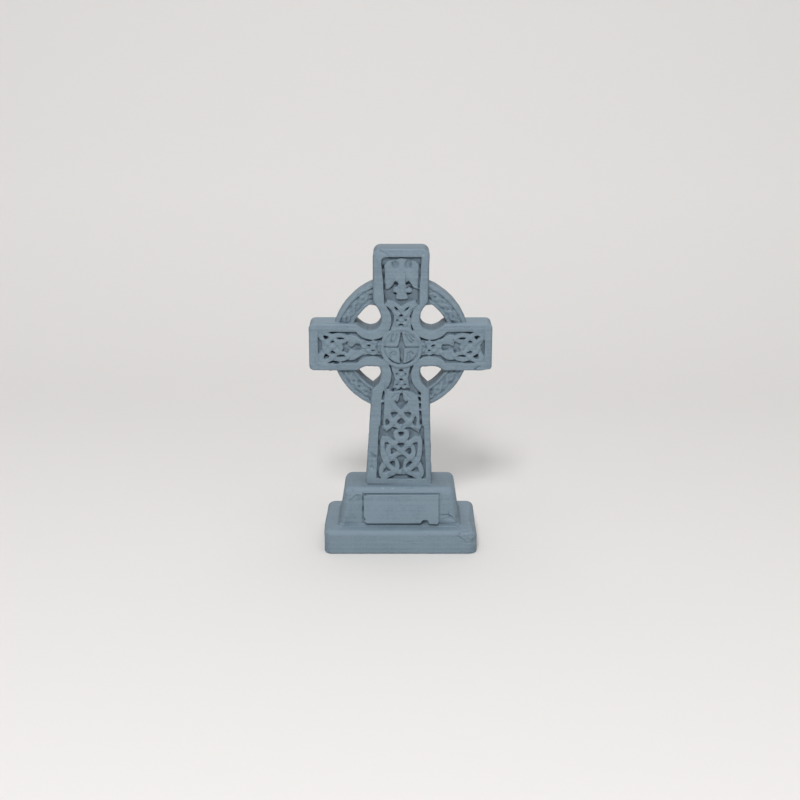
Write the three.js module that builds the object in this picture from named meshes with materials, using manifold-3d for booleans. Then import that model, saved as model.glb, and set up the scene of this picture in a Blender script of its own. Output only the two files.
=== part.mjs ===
// Ringed cross memorial: a small one-piece print of a carved high cross on a stepped plinth.
// Millimetres, +Z up. The origin is the centre of the underside and the carved front faces -Y.
import * as THREE from 'three';
import { mergeVertices } from 'three/addons/utils/BufferGeometryUtils.js';
import Module from 'manifold-3d';

// Slab, the lowest step
const SLAB_WIDTH = 30.3;
const SLAB_DEPTH = 19.2;
const SLAB_HEIGHT = 4.75;
const SLAB_CORNER = 1.7;
const SLAB_EDGE = 0.8;

// Sloped plinth on the slab
const PLINTH_FOOT_WIDTH = 24.3;
const PLINTH_FOOT_DEPTH = 13.4;
const PLINTH_TOP_WIDTH = 21.7;
const PLINTH_TOP_DEPTH = 11.2;
const PLINTH_HEIGHT = 7.7;
const PLINTH_CORNER = 1.2;
const PLINTH_EDGE = 1.0;
const PLINTH_CENTRE_X = -0.2;

// Blank plaque on the plinth's front
const PLAQUE_WIDTH = 15.0;
const PLAQUE_HEIGHT = 5.8;
const PLAQUE_FOOT = 0.65;
const PLAQUE_PROUD = 0.5;
const PLAQUE_CHIP_WIDTH = 1.4;
const PLAQUE_CHIP_HEIGHT = 0.65;
const PLAQUE_CHIP_FROM_END = 2.2;

// Cross: shaft, arms and top limb share one thickness
const CROSS_HEIGHT = 60.0;
const CROSS_THICKNESS = 6.8;
const SHAFT_FOOT_WIDTH = 13.2;
const SHAFT_NECK_WIDTH = 10.7;
const SHAFT_FOOT_CENTRE_X = -0.25;
const ARM_SPAN = 35.8;
const ARM_HEIGHT = 9.25;
const ARM_CENTRE_Z = 40.68;
const LIMB_NECK_WIDTH = 10.6;
const LIMB_TOP_WIDTH = 10.9;
const LIMB_CORNER = 1.4;
const ARM_CORNER = 1.0;
const CROSS_EDGE = 0.35;

// Hollows in the four angles of the cross
const CARVING_CENTRE_X = 0.15;
const CARVING_CENTRE_Z = 40.5;
const HOLLOW_ACROSS = 5.75;
const HOLLOW_UP = 5.5;
const HOLLOW_RADIUS = 2.05;

// Ring joining the arms
const RING_CENTRE_Z = 40.8;
const RING_OUTER_RADIUS = 13.5;
const RING_INNER_RADIUS = 10.25;
const RING_THICKNESS = 5.0;
const RING_EDGE = 0.35;
const RING_OUTER_RIM = 0.8;
const RING_INNER_RIM = 0.55;
const RING_BAND_DEPTH = 0.35;
const RING_BRAID_PERIOD = 22.0;
const RING_BRAID_WIDTH = 0.55;
const RING_BRAID_START = 22.0;
const RING_BRAID_END = 66.0;
const RING_BRAID_HEIGHT = 0.28;

// Sunk panels inside a raised border
const BORDER = 1.6;
const BORDER_AT_HOLLOWS = 1.8;
const PANEL_DEPTH = 0.7;
const PANEL_FOOT_Z = 13.6;

// Knotwork raised in the panels
const STRAND_WIDTH = 1.05;
const FINE_STRAND_WIDTH = 0.75;
const STRAND_SINK = 0.2;
const STRAND_SHOULDER = 0.14;
const CARVING_BELOW_BORDER = 0.06;
const PLAIT_SPACING = 1.8;
const PLAIT_REACH = 1.25;
const PLAIT_START = 4.35;
const PLAIT_FIRST_CROSSING = 5.52;
const PLAIT_BEND = 0.97;
const PLAIT_END = 8.1;

// Boss at the crossing
const BOSS_RADIUS = 4.15;
const BOSS_RIM = 0.85;
const BOSS_PROUD = 0.15;
const BOSS_SINK = 0.35;
const BOSS_GROOVE = 0.34;
const BOSS_PETAL_ROUND = 1.1;

// Spread bird in the top panel
const BIRD_CENTRE_X = 0.25;
const BIRD_TOP_Z = 57.85;
const BIRD_EYE_RADIUS = 0.5;
const BIRD_EYE_ACROSS = 1.22;
const BIRD_EYE_DOWN = 1.0;

// Print faults under the arms
const SAG_LENGTH = 2.2;
const SAG_DROP = 0.5;
const SAG_FROM_CENTRE = 13.8;
const BREAK_FROM_CENTRE = 14.5;
const BREAK_RISE = 0.45;

// Fineness of the curves
const ARC_STEPS = 3;
const ROUND_SIDES = 32;
const RING_SIDES = 48;
const STRAND_STEP = 1.25;
const OVERLAP = 0.4;

const wasm = await Module();
wasm.setup();

const FRONT_Y = -CROSS_THICKNESS / 2;
const BACK_Y = CROSS_THICKNESS / 2;
const PLINTH_TOP_Z = SLAB_HEIGHT + PLINTH_HEIGHT;
const HALF_SPAN = ARM_SPAN / 2;
const ARM_TOP_Z = ARM_CENTRE_Z + ARM_HEIGHT / 2;
const ARM_FOOT_Z = ARM_CENTRE_Z - ARM_HEIGHT / 2;
const PANEL_FLOOR_Y = FRONT_Y + PANEL_DEPTH;
const CARVING_HEIGHT = PANEL_DEPTH - CARVING_BELOW_BORDER;

// A closed geometry as a solid that can be joined and cut.
function solidOf(geometry) {
  const source = geometry.index ? geometry.toNonIndexed() : geometry.clone();
  source.deleteAttribute('normal');
  source.deleteAttribute('uv');
  const merged = mergeVertices(source, 1e-5);
  const vertProperties = new Float32Array(merged.attributes.position.array);
  const triVerts = new Uint32Array(merged.index.array);
  return new wasm.Manifold(new wasm.Mesh({ numProp: 3, vertProperties, triVerts }));
}

function geometryOf(solid) {
  const mesh = solid.getMesh();
  const geometry = new THREE.BufferGeometry();
  geometry.setAttribute('position', new THREE.BufferAttribute(mesh.vertProperties.slice(), 3));
  geometry.setIndex(new THREE.BufferAttribute(mesh.triVerts.slice(), 1));
  geometry.computeVertexNormals();
  return geometry;
}

function joined(solids) {
  return solids.reduce((whole, solid) => whole.add(solid));
}

// A front-view shape (x across, z up) made into a plate from frontY back to backY.
function plate(shape, frontY, backY, edge = 0) {
  const geometry = new THREE.ExtrudeGeometry(shape, {
    depth: backY - frontY - 2 * edge,
    curveSegments: ARC_STEPS,
    bevelEnabled: edge > 0,
    bevelThickness: edge,
    bevelSize: edge,
    bevelOffset: -edge,
    bevelSegments: 2,
  });
  geometry.rotateX(Math.PI / 2);
  geometry.translate(0, backY - edge, 0);
  return solidOf(geometry);
}

function box(fromX, toX, fromY, toY, fromZ, toZ) {
  const geometry = new THREE.BoxGeometry(toX - fromX, toY - fromY, toZ - fromZ);
  geometry.translate((fromX + toX) / 2, (fromY + toY) / 2, (fromZ + toZ) / 2);
  return solidOf(geometry);
}

// A round bar along Y between two depths.
function disc(x, z, radius, frontY, backY) {
  const geometry = new THREE.CylinderGeometry(radius, radius, backY - frontY, ROUND_SIDES);
  geometry.translate(x, (frontY + backY) / 2, z);
  return solidOf(geometry);
}

// A profile of [radius, y] points turned about the line through (x, z) that runs front to back.
function turned(x, z, profile, sides = ROUND_SIDES) {
  const points = profile.map(([radius, y]) => new THREE.Vector2(radius, y));
  const geometry = new THREE.LatheGeometry(points, sides);
  geometry.translate(x, 0, z);
  return solidOf(geometry);
}

function roundedRectangle(width, depth, corner) {
  const x = width / 2;
  const y = depth / 2;
  const shape = new THREE.Shape();
  shape.moveTo(-x + corner, -y);
  shape.lineTo(x - corner, -y);
  shape.absarc(x - corner, -y + corner, corner, -Math.PI / 2, 0);
  shape.lineTo(x, y - corner);
  shape.absarc(x - corner, y - corner, corner, 0, Math.PI / 2);
  shape.lineTo(-x + corner, y);
  shape.absarc(-x + corner, y - corner, corner, Math.PI / 2, Math.PI);
  shape.lineTo(-x, -y + corner);
  shape.absarc(-x + corner, -y + corner, corner, Math.PI, Math.PI * 1.5);
  return shape;
}

// A block with rounded upright corners and a rounded top edge, from footZ to topZ.
// Its width and depth change evenly with height, from foot to top.
function step(foot, top, corner, edge, footZ, topZ) {
  const height = topZ - footZ;
  const geometry = new THREE.ExtrudeGeometry(roundedRectangle(top[0], top[1], corner), {
    depth: height - edge,
    curveSegments: 2,
    bevelEnabled: true,
    bevelThickness: edge,
    bevelSize: edge,
    bevelOffset: -edge,
    bevelSegments: 3,
  });
  const position = geometry.attributes.position;
  for (let i = 0; i < position.count; i += 1) {
    const down = 1 - position.getZ(i) / height;
    position.setX(i, position.getX(i) * (1 + (foot[0] / top[0] - 1) * down));
    position.setY(i, position.getY(i) * (1 + (foot[1] / top[1] - 1) * down));
  }
  geometry.translate(0, 0, footZ);
  const below = box(-foot[0], foot[0], -foot[1], foot[1], footZ - 2 * edge, footZ);
  return solidOf(geometry).subtract(below);
}

// Half the width of the shaft or the top limb at a height.
function halfWidthAt(z) {
  const limbStart = CARVING_CENTRE_Z;
  if (z > limbStart) {
    const up = (z - limbStart) / (CROSS_HEIGHT - limbStart);
    return (LIMB_NECK_WIDTH + (LIMB_TOP_WIDTH - LIMB_NECK_WIDTH) * up) / 2;
  }
  const down = (limbStart - z) / (limbStart - PLINTH_TOP_Z);
  return (SHAFT_NECK_WIDTH + (SHAFT_FOOT_WIDTH - SHAFT_NECK_WIDTH) * down) / 2;
}

// Outlines of the upper and the lower hollows, from the arm's edge to the limb's, in shares of
// the hollow's radius: [away from the shaft, away from the arms] from its centre.
const UPPER_HOLLOW = [
  [1.39, -0.34], [0.8, -0.78], [0.17, -1.0], [-0.49, -0.83], [-0.88, -0.34], [-0.94, 0.29],
  [-0.71, 1.02], [-0.2, 1.76],
];
const LOWER_HOLLOW = [
  [1.34, -0.5], [0.61, -1.01], [-0.37, -1.02], [-0.76, -0.85], [-0.89, -0.44], [-0.83, 0.24],
  [-0.61, 0.76], [-0.1, 1.41],
];

// The points of one hollow; its first and last are moved onto the arm's and the limb's edge.
function hollowPoints(side, up) {
  const centreZ = CARVING_CENTRE_Z + up * HOLLOW_UP;
  const armZ = up > 0 ? ARM_TOP_Z : ARM_FOOT_Z;
  const points = (up > 0 ? UPPER_HOLLOW : LOWER_HOLLOW).map(([away, rise]) => [
    side * (HOLLOW_ACROSS + HOLLOW_RADIUS * away),
    centreZ + up * HOLLOW_RADIUS * rise,
  ]);
  const last = points[points.length - 1];
  points[0][1] = armZ;
  last[0] = side * halfWidthAt(last[1]);
  return points;
}

function roundedCorner(path, x, z, corner, start) {
  path.absarc(x, z, corner, start, start - Math.PI / 2, true);
}

function crossOutline() {
  const footZ = PLINTH_TOP_Z - OVERLAP;
  const left = LIMB_CORNER + CARVING_CENTRE_X - LIMB_TOP_WIDTH / 2;
  const right = CARVING_CENTRE_X + LIMB_TOP_WIDTH / 2 - LIMB_CORNER;
  const tip = HALF_SPAN - ARM_CORNER;
  const upper = ARM_TOP_Z - ARM_CORNER;
  const lower = ARM_FOOT_Z + ARM_CORNER;
  const shape = new THREE.Shape();
  const follow = (points) => points.forEach(([x, z]) => shape.lineTo(x, z));
  shape.moveTo(SHAFT_FOOT_CENTRE_X + halfWidthAt(footZ), footZ);
  shape.lineTo(SHAFT_FOOT_CENTRE_X - halfWidthAt(footZ), footZ);
  follow(hollowPoints(-1, -1).reverse());
  roundedCorner(shape, -tip, lower, ARM_CORNER, -Math.PI / 2);
  roundedCorner(shape, -tip, upper, ARM_CORNER, Math.PI);
  follow(hollowPoints(-1, 1));
  roundedCorner(shape, left, CROSS_HEIGHT - LIMB_CORNER, LIMB_CORNER, Math.PI);
  roundedCorner(shape, right, CROSS_HEIGHT - LIMB_CORNER, LIMB_CORNER, Math.PI / 2);
  follow(hollowPoints(1, 1).reverse());
  roundedCorner(shape, tip, upper, ARM_CORNER, Math.PI / 2);
  roundedCorner(shape, tip, lower, ARM_CORNER, 0);
  follow(hollowPoints(1, -1));
  shape.closePath();
  return shape;
}

// The sunk panels' outline: the cross drawn in by the border, narrowed beside the hollows.
function panelCut(frontY, backY) {
  const x = CARVING_CENTRE_X;
  const limbX = LIMB_TOP_WIDTH / 2 - BORDER;
  const upright = new THREE.Shape();
  upright.moveTo(x - halfWidthAt(PANEL_FOOT_Z) + BORDER, PANEL_FOOT_Z);
  upright.lineTo(x - halfWidthAt(CARVING_CENTRE_Z) + BORDER, CARVING_CENTRE_Z);
  upright.lineTo(x - limbX, CROSS_HEIGHT - BORDER);
  upright.lineTo(x + limbX, CROSS_HEIGHT - BORDER);
  upright.lineTo(x + halfWidthAt(CARVING_CENTRE_Z) - BORDER, CARVING_CENTRE_Z);
  upright.lineTo(x + halfWidthAt(PANEL_FOOT_Z) - BORDER, PANEL_FOOT_Z);
  upright.closePath();
  const armX = HALF_SPAN - BORDER;
  let cut = plate(upright, frontY, backY);
  cut = cut.add(box(-armX, armX, frontY, backY, ARM_FOOT_Z + BORDER, ARM_TOP_Z - BORDER));
  for (const side of [-1, 1]) {
    for (const up of [-1, 1]) {
      const hollowX = side * HOLLOW_ACROSS + x;
      const hollowZ = CARVING_CENTRE_Z + up * HOLLOW_UP;
      const radius = HOLLOW_RADIUS + BORDER_AT_HOLLOWS;
      cut = cut.subtract(disc(hollowX, hollowZ, radius, frontY - OVERLAP, backY + OVERLAP));
    }
  }
  return cut;
}

// One raised strand through [across, up] points, as a bar with sloped shoulders.
// It rises from below the floor at floorY and stands out towards the front.
function strand(points, width, floorY, height) {
  const path = new THREE.CatmullRomCurve3(
    points.map(([across, up]) => new THREE.Vector3(across, floorY, up)),
    false,
    'centripetal',
  );
  const half = width / 2;
  const section = new THREE.Shape();
  section.moveTo(-STRAND_SINK, -half - STRAND_SHOULDER);
  section.lineTo(height, -half + STRAND_SHOULDER);
  section.lineTo(height, half - STRAND_SHOULDER);
  section.lineTo(-STRAND_SINK, half + STRAND_SHOULDER);
  section.closePath();
  const geometry = new THREE.ExtrudeGeometry(section, {
    extrudePath: path,
    steps: Math.max(2, Math.round(path.getLength() / STRAND_STEP)),
  });
  return solidOf(geometry);
}

function mirrored(points) {
  return points.map(([across, up]) => [-across, up]);
}

function shifted(points, x, z) {
  return points.map(([across, up]) => [across + x, up + z]);
}

// Routes of the shaft's knots, [across from the carving's centre line, height], drawn once
// and mirrored. Each ends inside another strand.
const SHAFT_ROUTES = [
  // arch over the heart and down the side
  [[0.1, 31.55], [-1.0, 31.45], [-2.1, 30.95], [-2.85, 30.0], [-3.15, 28.7], [-3.15, 27.2],
    [-3.3, 25.8], [-3.4, 24.8], [-3.2, 24.0]],
  // curl beside the slit, side of the heart, crossing above the diamond and out to a tip
  [[-0.5, 31.3], [-0.6, 30.6], [-1.1, 30.15], [-1.7, 29.6], [-1.55, 29.0], [-0.95, 28.3],
    [0, 27.25], [0.85, 26.2], [1.65, 25.3], [2.5, 24.5], [3.3, 24.05]],
  // bow under the diamond
  [[-2.4, 30.0], [-2.4, 28.3], [-2.3, 27.2], [-1.85, 26.2], [-1.1, 25.1], [0.1, 24.65]],
  // side band of the lower knot and bow under the slot
  [[-3.3, 22.35], [-3.65, 21.4], [-3.65, 20.0], [-3.55, 18.6], [-3.15, 17.4], [-2.3, 16.4],
    [-1.3, 15.45], [0.1, 15.05]],
  // diagonal from the other tip and the corner petal
  [[3.3, 22.3], [2.4, 21.65], [1.5, 20.95], [0.75, 20.3], [0, 19.65], [-0.8, 19.0],
    [-1.5, 18.4], [-2.3, 17.85], [-3.1, 17.1], [-3.75, 16.1], [-4.0, 15.0], [-3.7, 14.25],
    [-2.6, 14.4]],
  // side of the slot, inner loop and half of the round loop
  [[-2.9, 14.3], [-1.6, 14.95], [-0.85, 15.9], [-0.75, 16.9], [-1.2, 17.7], [-2.0, 18.2],
    [-2.45, 19.1], [-2.3, 20.0], [-1.6, 20.75], [-0.8, 21.25], [0, 21.6], [0.75, 22.1],
    [1.05, 22.9], [0.75, 23.7], [-0.1, 24.0]],
];

// Routes of an arm's knot, [out from the cross's centre, up from the arm's centre line],
// drawn once and mirrored up and down.
const ARM_ROUTES = [
  // inner turn, diagonal, corner petal, back across the arm and round the hooked gap
  [[11.65, -0.1], [12.0, 0.5], [12.5, 1.0], [13.0, 1.55], [13.5, 2.05], [14.2, 2.6],
    [15.1, 2.8], [15.65, 2.4], [15.5, 1.8], [15.0, 1.4], [14.45, 0.95], [13.95, 0.45],
    [13.5, 0], [13.0, -0.5], [12.5, -1.0], [11.9, -1.25], [11.2, -1.3], [10.6, -1.7],
    [10.0, -2.1], [9.2, -2.0], [8.3, -1.45], [7.65, -0.8], [7.45, 0.1]],
  // turn at the end notch, over the lens and inwards beside the hooked gap
  [[15.1, -0.1], [14.95, 0.45], [14.5, 0.95], [14.0, 1.5], [13.5, 2.05], [12.8, 2.35],
    [11.8, 2.4], [10.9, 2.15], [10.3, 1.55], [9.7, 1.15], [8.9, 1.0], [8.0, 1.1], [7.2, 1.1]],
];

// The four zigzag strands of a neck, [across, out from the carving's centre].
function plaitRoutes(start, end) {
  const period = 4 * PLAIT_SPACING;
  const routes = [];
  for (let k = 0; k < 4; k += 1) {
    const points = [];
    for (let out = start; out < end + PLAIT_SPACING / 8; out += PLAIT_SPACING / 4) {
      const turn = ((out - PLAIT_FIRST_CROSSING) / period + k / 4) * 2 * Math.PI;
      const swing = Math.asin(PLAIT_BEND * Math.sin(turn)) / Math.asin(PLAIT_BEND);
      points.push([PLAIT_REACH * swing, out]);
    }
    routes.push(points);
  }
  return routes;
}

// Strands that open out from the upper neck under the bird, [across, height], mirrored.
const FORK_ROUTES = [
  [[-0.4, 47.9], [0.7, 48.6], [1.7, 49.3], [2.8, 49.6]],
  [[1.0, 47.2], [1.6, 48.2], [2.3, 48.9], [3.0, 49.4]],
];

// All the strands on the front face.
function knotwork() {
  const strands = [];
  const lay = (points, width) => {
    strands.push(strand(points, width, PANEL_FLOOR_Y, CARVING_HEIGHT));
  };
  for (const route of SHAFT_ROUTES) {
    lay(shifted(route, CARVING_CENTRE_X, 0), STRAND_WIDTH);
    lay(shifted(mirrored(route), CARVING_CENTRE_X, 0), STRAND_WIDTH);
  }
  for (const side of [-1, 1]) {
    for (const up of [-1, 1]) {
      for (const route of ARM_ROUTES) {
        const turnedRoute = route.map(([out, rise]) => [side * out, up * rise]);
        lay(shifted(turnedRoute, CARVING_CENTRE_X, ARM_CENTRE_Z), FINE_STRAND_WIDTH);
      }
    }
    for (const route of plaitRoutes(PLAIT_START, PLAIT_END - PLAIT_SPACING / 2)) {
      const across = route.map(([offset, out]) => [side * out, offset]);
      lay(shifted(across, CARVING_CENTRE_X, CARVING_CENTRE_Z), FINE_STRAND_WIDTH);
    }
    for (const route of plaitRoutes(PLAIT_START, PLAIT_END)) {
      const upward = route.map(([offset, out]) => [offset, side * out]);
      lay(shifted(upward, CARVING_CENTRE_X, CARVING_CENTRE_Z), FINE_STRAND_WIDTH);
    }
    for (const route of FORK_ROUTES) {
      const opened = side > 0 ? route : mirrored(route);
      lay(shifted(opened, CARVING_CENTRE_X, 0), FINE_STRAND_WIDTH);
    }
  }
  return joined(strands);
}

// Half outline of the spread bird, [across, down from its top]: shoulder, wing, ragged
// tip, claw and tail.
const BIRD_OUTLINE = [
  [0, 0], [0.9, 0.05], [1.4, 0.4], [2.1, 0.4], [2.9, 0.75], [3.3, 1.4], [3.35, 2.9],
  [3.25, 4.2], [3.3, 5.5], [2.8, 5.4], [2.35, 5.5], [2.0, 4.9], [1.6, 4.3], [1.1, 4.6],
  [0.85, 5.2], [1.9, 5.6], [2.05, 6.1], [1.1, 6.3], [1.3, 7.0], [1.0, 7.6], [0, 7.8],
];

function bird() {
  const shape = new THREE.Shape();
  const right = BIRD_OUTLINE.map(([across, down]) => [BIRD_CENTRE_X + across, BIRD_TOP_Z - down]);
  const left = BIRD_OUTLINE.map(([across, down]) => [BIRD_CENTRE_X - across, BIRD_TOP_Z - down]);
  shape.moveTo(...right[0]);
  right.slice(1).forEach((point) => shape.lineTo(...point));
  left.slice(1, -1).reverse().forEach((point) => shape.lineTo(...point));
  shape.closePath();
  let relief = plate(shape, PANEL_FLOOR_Y - CARVING_HEIGHT, PANEL_FLOOR_Y + STRAND_SINK);
  for (const side of [-1, 1]) {
    const x = BIRD_CENTRE_X + side * BIRD_EYE_ACROSS;
    const z = BIRD_TOP_Z - BIRD_EYE_DOWN;
    const floorY = PANEL_FLOOR_Y - CARVING_HEIGHT / 2;
    relief = relief.subtract(disc(x, z, BIRD_EYE_RADIUS, FRONT_Y - OVERLAP, floorY));
  }
  return relief;
}

// The boss: a raised rim round four petals that leave a hollow star between them.
function boss() {
  const rimY = FRONT_Y - BOSS_PROUD;
  const floorY = FRONT_Y + BOSS_SINK;
  const innerRadius = BOSS_RADIUS - BOSS_RIM;
  const solids = [turned(CARVING_CENTRE_X, CARVING_CENTRE_Z, [
    [0, floorY],
    [innerRadius, floorY],
    [innerRadius + BOSS_RIM / 4, rimY],
    [BOSS_RADIUS - BOSS_RIM / 4, rimY],
    [BOSS_RADIUS, rimY + BOSS_PROUD],
    [BOSS_RADIUS, PANEL_FLOOR_Y + STRAND_SINK],
    [0, PANEL_FLOOR_Y + STRAND_SINK],
  ])];
  const near = BOSS_GROOVE / 2;
  const far = innerRadius - BOSS_GROOVE / 4;
  for (let quarter = 0; quarter < 4; quarter += 1) {
    const petal = new THREE.Shape();
    petal.moveTo(near, near + BOSS_PETAL_ROUND);
    petal.quadraticCurveTo(near, near, near + BOSS_PETAL_ROUND, near);
    petal.absarc(0, 0, far, Math.asin(near / far), Math.acos(near / far), false);
    petal.closePath();
    const solid = plate(petal, FRONT_Y - BOSS_PROUD / 2, floorY + STRAND_SINK);
    solids.push(solid.rotate(0, quarter * 90, 0).translate(CARVING_CENTRE_X, 0, CARVING_CENTRE_Z));
  }
  return joined(solids);
}

// A plain disc with a rim marks the crossing on the back.
function backBoss() {
  const floorY = BACK_Y - PANEL_DEPTH - STRAND_SINK;
  return turned(CARVING_CENTRE_X, CARVING_CENTRE_Z, [
    [0, floorY],
    [BOSS_RADIUS, floorY],
    [BOSS_RADIUS, BACK_Y],
    [BOSS_RADIUS - BOSS_RIM, BACK_Y],
    [BOSS_RADIUS - BOSS_RIM, BACK_Y - BOSS_SINK],
    [0, BACK_Y - BOSS_SINK],
  ]);
}

// The ring, with a sunk band between two rims on its front.
function ring() {
  const front = -RING_THICKNESS / 2;
  const back = RING_THICKNESS / 2;
  const bandOut = RING_OUTER_RADIUS - RING_OUTER_RIM;
  const bandIn = RING_INNER_RADIUS + RING_INNER_RIM;
  const profile = [
    [RING_INNER_RADIUS, front],
    [bandIn, front],
    [bandIn, front + RING_BAND_DEPTH],
    [bandOut, front + RING_BAND_DEPTH],
    [bandOut, front],
    [RING_OUTER_RADIUS - RING_EDGE, front],
    [RING_OUTER_RADIUS, front + RING_EDGE],
    [RING_OUTER_RADIUS, back - RING_EDGE],
    [RING_OUTER_RADIUS - RING_EDGE, back],
    [RING_INNER_RADIUS, back],
    [RING_INNER_RADIUS, front],
  ];
  return turned(0, RING_CENTRE_Z, profile, RING_SIDES);
}

// The worn two-strand braid in the ring's front band, one stretch in each quarter.
function ringBraid() {
  const middle = (RING_OUTER_RADIUS - RING_OUTER_RIM + RING_INNER_RADIUS + RING_INNER_RIM) / 2;
  const swing = (RING_OUTER_RADIUS - RING_OUTER_RIM - RING_INNER_RADIUS - RING_INNER_RIM) / 4;
  const floorY = -RING_THICKNESS / 2 + RING_BAND_DEPTH;
  const strands = [];
  for (let quarter = 0; quarter < 4; quarter += 1) {
    for (const phase of [0, 180]) {
      const points = [];
      for (let angle = RING_BRAID_START; angle <= RING_BRAID_END; angle += RING_BRAID_PERIOD / 4) {
        const turn = THREE.MathUtils.degToRad(angle + quarter * 90);
        const wave = THREE.MathUtils.degToRad((angle / RING_BRAID_PERIOD) * 360 + phase);
        const radius = middle + swing * Math.sin(wave);
        points.push([radius * Math.cos(turn), RING_CENTRE_Z + radius * Math.sin(turn)]);
      }
      strands.push(strand(points, RING_BRAID_WIDTH, floorY, RING_BRAID_HEIGHT));
    }
  }
  return joined(strands);
}

// The plaque leans with the plinth's front face and has a piece missing at one lower corner.
function plaque() {
  const lean = Math.atan2((PLINTH_FOOT_DEPTH - PLINTH_TOP_DEPTH) / 2, PLINTH_HEIGHT);
  const half = PLAQUE_WIDTH / 2;
  const chipEnd = half - PLAQUE_CHIP_FROM_END;
  const chipStart = chipEnd - PLAQUE_CHIP_WIDTH;
  const shape = new THREE.Shape();
  shape.moveTo(-half, PLAQUE_CHIP_HEIGHT);
  shape.lineTo(-half + PLAQUE_CHIP_HEIGHT, 0);
  shape.lineTo(chipStart, 0);
  shape.lineTo(chipStart + PLAQUE_CHIP_HEIGHT / 4, PLAQUE_CHIP_HEIGHT);
  shape.lineTo(chipEnd, PLAQUE_CHIP_HEIGHT);
  shape.lineTo(chipEnd, 0);
  shape.lineTo(half, 0);
  shape.lineTo(half, PLAQUE_HEIGHT);
  shape.lineTo(-half, PLAQUE_HEIGHT);
  shape.closePath();
  const solid = plate(shape, -PLAQUE_PROUD, OVERLAP);
  const footY = -PLINTH_FOOT_DEPTH / 2 + PLAQUE_FOOT * Math.tan(lean);
  return solid
    .rotate(-THREE.MathUtils.radToDeg(lean), 0, 0)
    .translate(CARVING_CENTRE_X, footY, SLAB_HEIGHT + PLAQUE_FOOT);
}

// A drooping lump of print under the left arm.
function sag() {
  const geometry = new THREE.SphereGeometry(1, 12, 6);
  geometry.scale(SAG_LENGTH / 2, CROSS_THICKNESS / 2 - CROSS_EDGE, SAG_DROP);
  geometry.translate(-SAG_FROM_CENTRE, 0, ARM_FOOT_Z);
  return solidOf(geometry);
}

// The wedge broken from the right arm's underside, deepest at the arm's end.
function armBreak() {
  const below = ARM_FOOT_Z - OVERLAP;
  const shape = new THREE.Shape();
  shape.moveTo(BREAK_FROM_CENTRE, below);
  shape.lineTo(HALF_SPAN + OVERLAP, below);
  shape.lineTo(HALF_SPAN + OVERLAP, ARM_FOOT_Z + BREAK_RISE);
  shape.lineTo(BREAK_FROM_CENTRE + OVERLAP, ARM_FOOT_Z + BREAK_RISE / 4);
  shape.closePath();
  return plate(shape, FRONT_Y - OVERLAP, BACK_Y + OVERLAP);
}

function memorial() {
  const slab = step(
    [SLAB_WIDTH, SLAB_DEPTH],
    [SLAB_WIDTH, SLAB_DEPTH],
    SLAB_CORNER,
    SLAB_EDGE,
    0,
    SLAB_HEIGHT,
  );
  const plinth = step(
    [PLINTH_FOOT_WIDTH, PLINTH_FOOT_DEPTH],
    [PLINTH_TOP_WIDTH, PLINTH_TOP_DEPTH],
    PLINTH_CORNER,
    PLINTH_EDGE,
    SLAB_HEIGHT - OVERLAP,
    PLINTH_TOP_Z,
  ).translate(PLINTH_CENTRE_X, 0, 0);
  const cross = plate(crossOutline(), FRONT_Y, BACK_Y, CROSS_EDGE)
    .add(sag())
    .subtract(armBreak())
    .subtract(panelCut(FRONT_Y - OVERLAP, PANEL_FLOOR_Y))
    .subtract(panelCut(BACK_Y - PANEL_DEPTH, BACK_Y + OVERLAP));
  return joined([
    slab,
    plinth,
    plaque(),
    ring(),
    ringBraid(),
    cross,
    knotwork(),
    bird(),
    boss(),
    backBoss(),
  ]);
}

const material = new THREE.MeshStandardMaterial({ color: 0x77889a, roughness: 0.62, metalness: 0 });
const mesh = new THREE.Mesh(geometryOf(memorial()), material);
mesh.name = 'ringed_cross_memorial';

const group = new THREE.Group();
group.add(mesh);

export default group;
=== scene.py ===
"""Ringed cross memorial: the finish and fine carving of a small one-piece plastic print."""
import math

import bmesh
import bpy
import numpy as np
from bpy.props import FloatProperty, FloatVectorProperty, PointerProperty
from mathutils import Matrix, Vector, noise


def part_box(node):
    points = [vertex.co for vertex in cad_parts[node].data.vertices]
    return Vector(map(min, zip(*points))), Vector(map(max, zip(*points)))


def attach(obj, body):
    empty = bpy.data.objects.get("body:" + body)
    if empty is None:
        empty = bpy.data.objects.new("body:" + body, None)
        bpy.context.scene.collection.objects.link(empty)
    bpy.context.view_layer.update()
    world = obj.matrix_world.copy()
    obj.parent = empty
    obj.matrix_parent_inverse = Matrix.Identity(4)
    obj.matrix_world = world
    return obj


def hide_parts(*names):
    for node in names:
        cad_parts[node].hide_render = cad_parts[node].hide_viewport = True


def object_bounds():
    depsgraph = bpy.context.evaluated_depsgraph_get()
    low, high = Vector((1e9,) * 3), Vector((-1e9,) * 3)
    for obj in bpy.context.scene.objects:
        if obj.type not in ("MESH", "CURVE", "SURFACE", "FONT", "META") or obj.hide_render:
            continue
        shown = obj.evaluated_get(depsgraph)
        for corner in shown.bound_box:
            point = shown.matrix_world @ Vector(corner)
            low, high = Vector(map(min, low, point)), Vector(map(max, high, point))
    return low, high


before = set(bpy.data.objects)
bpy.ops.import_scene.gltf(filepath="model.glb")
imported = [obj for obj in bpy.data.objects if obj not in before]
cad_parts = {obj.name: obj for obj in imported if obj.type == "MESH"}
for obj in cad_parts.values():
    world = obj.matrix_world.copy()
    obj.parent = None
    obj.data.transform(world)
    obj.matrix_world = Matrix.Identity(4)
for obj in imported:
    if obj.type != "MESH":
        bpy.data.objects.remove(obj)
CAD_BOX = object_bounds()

bl_info = {
    "name": "Ringed cross memorial",
    "version": (1, 0, 0),
    "blender": (4, 5, 0),
    "location": "View3D > Sidebar > Memorial",
    "description": "Models a printed ringed cross memorial and its plain studio",
    "category": "Object",
}

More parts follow.
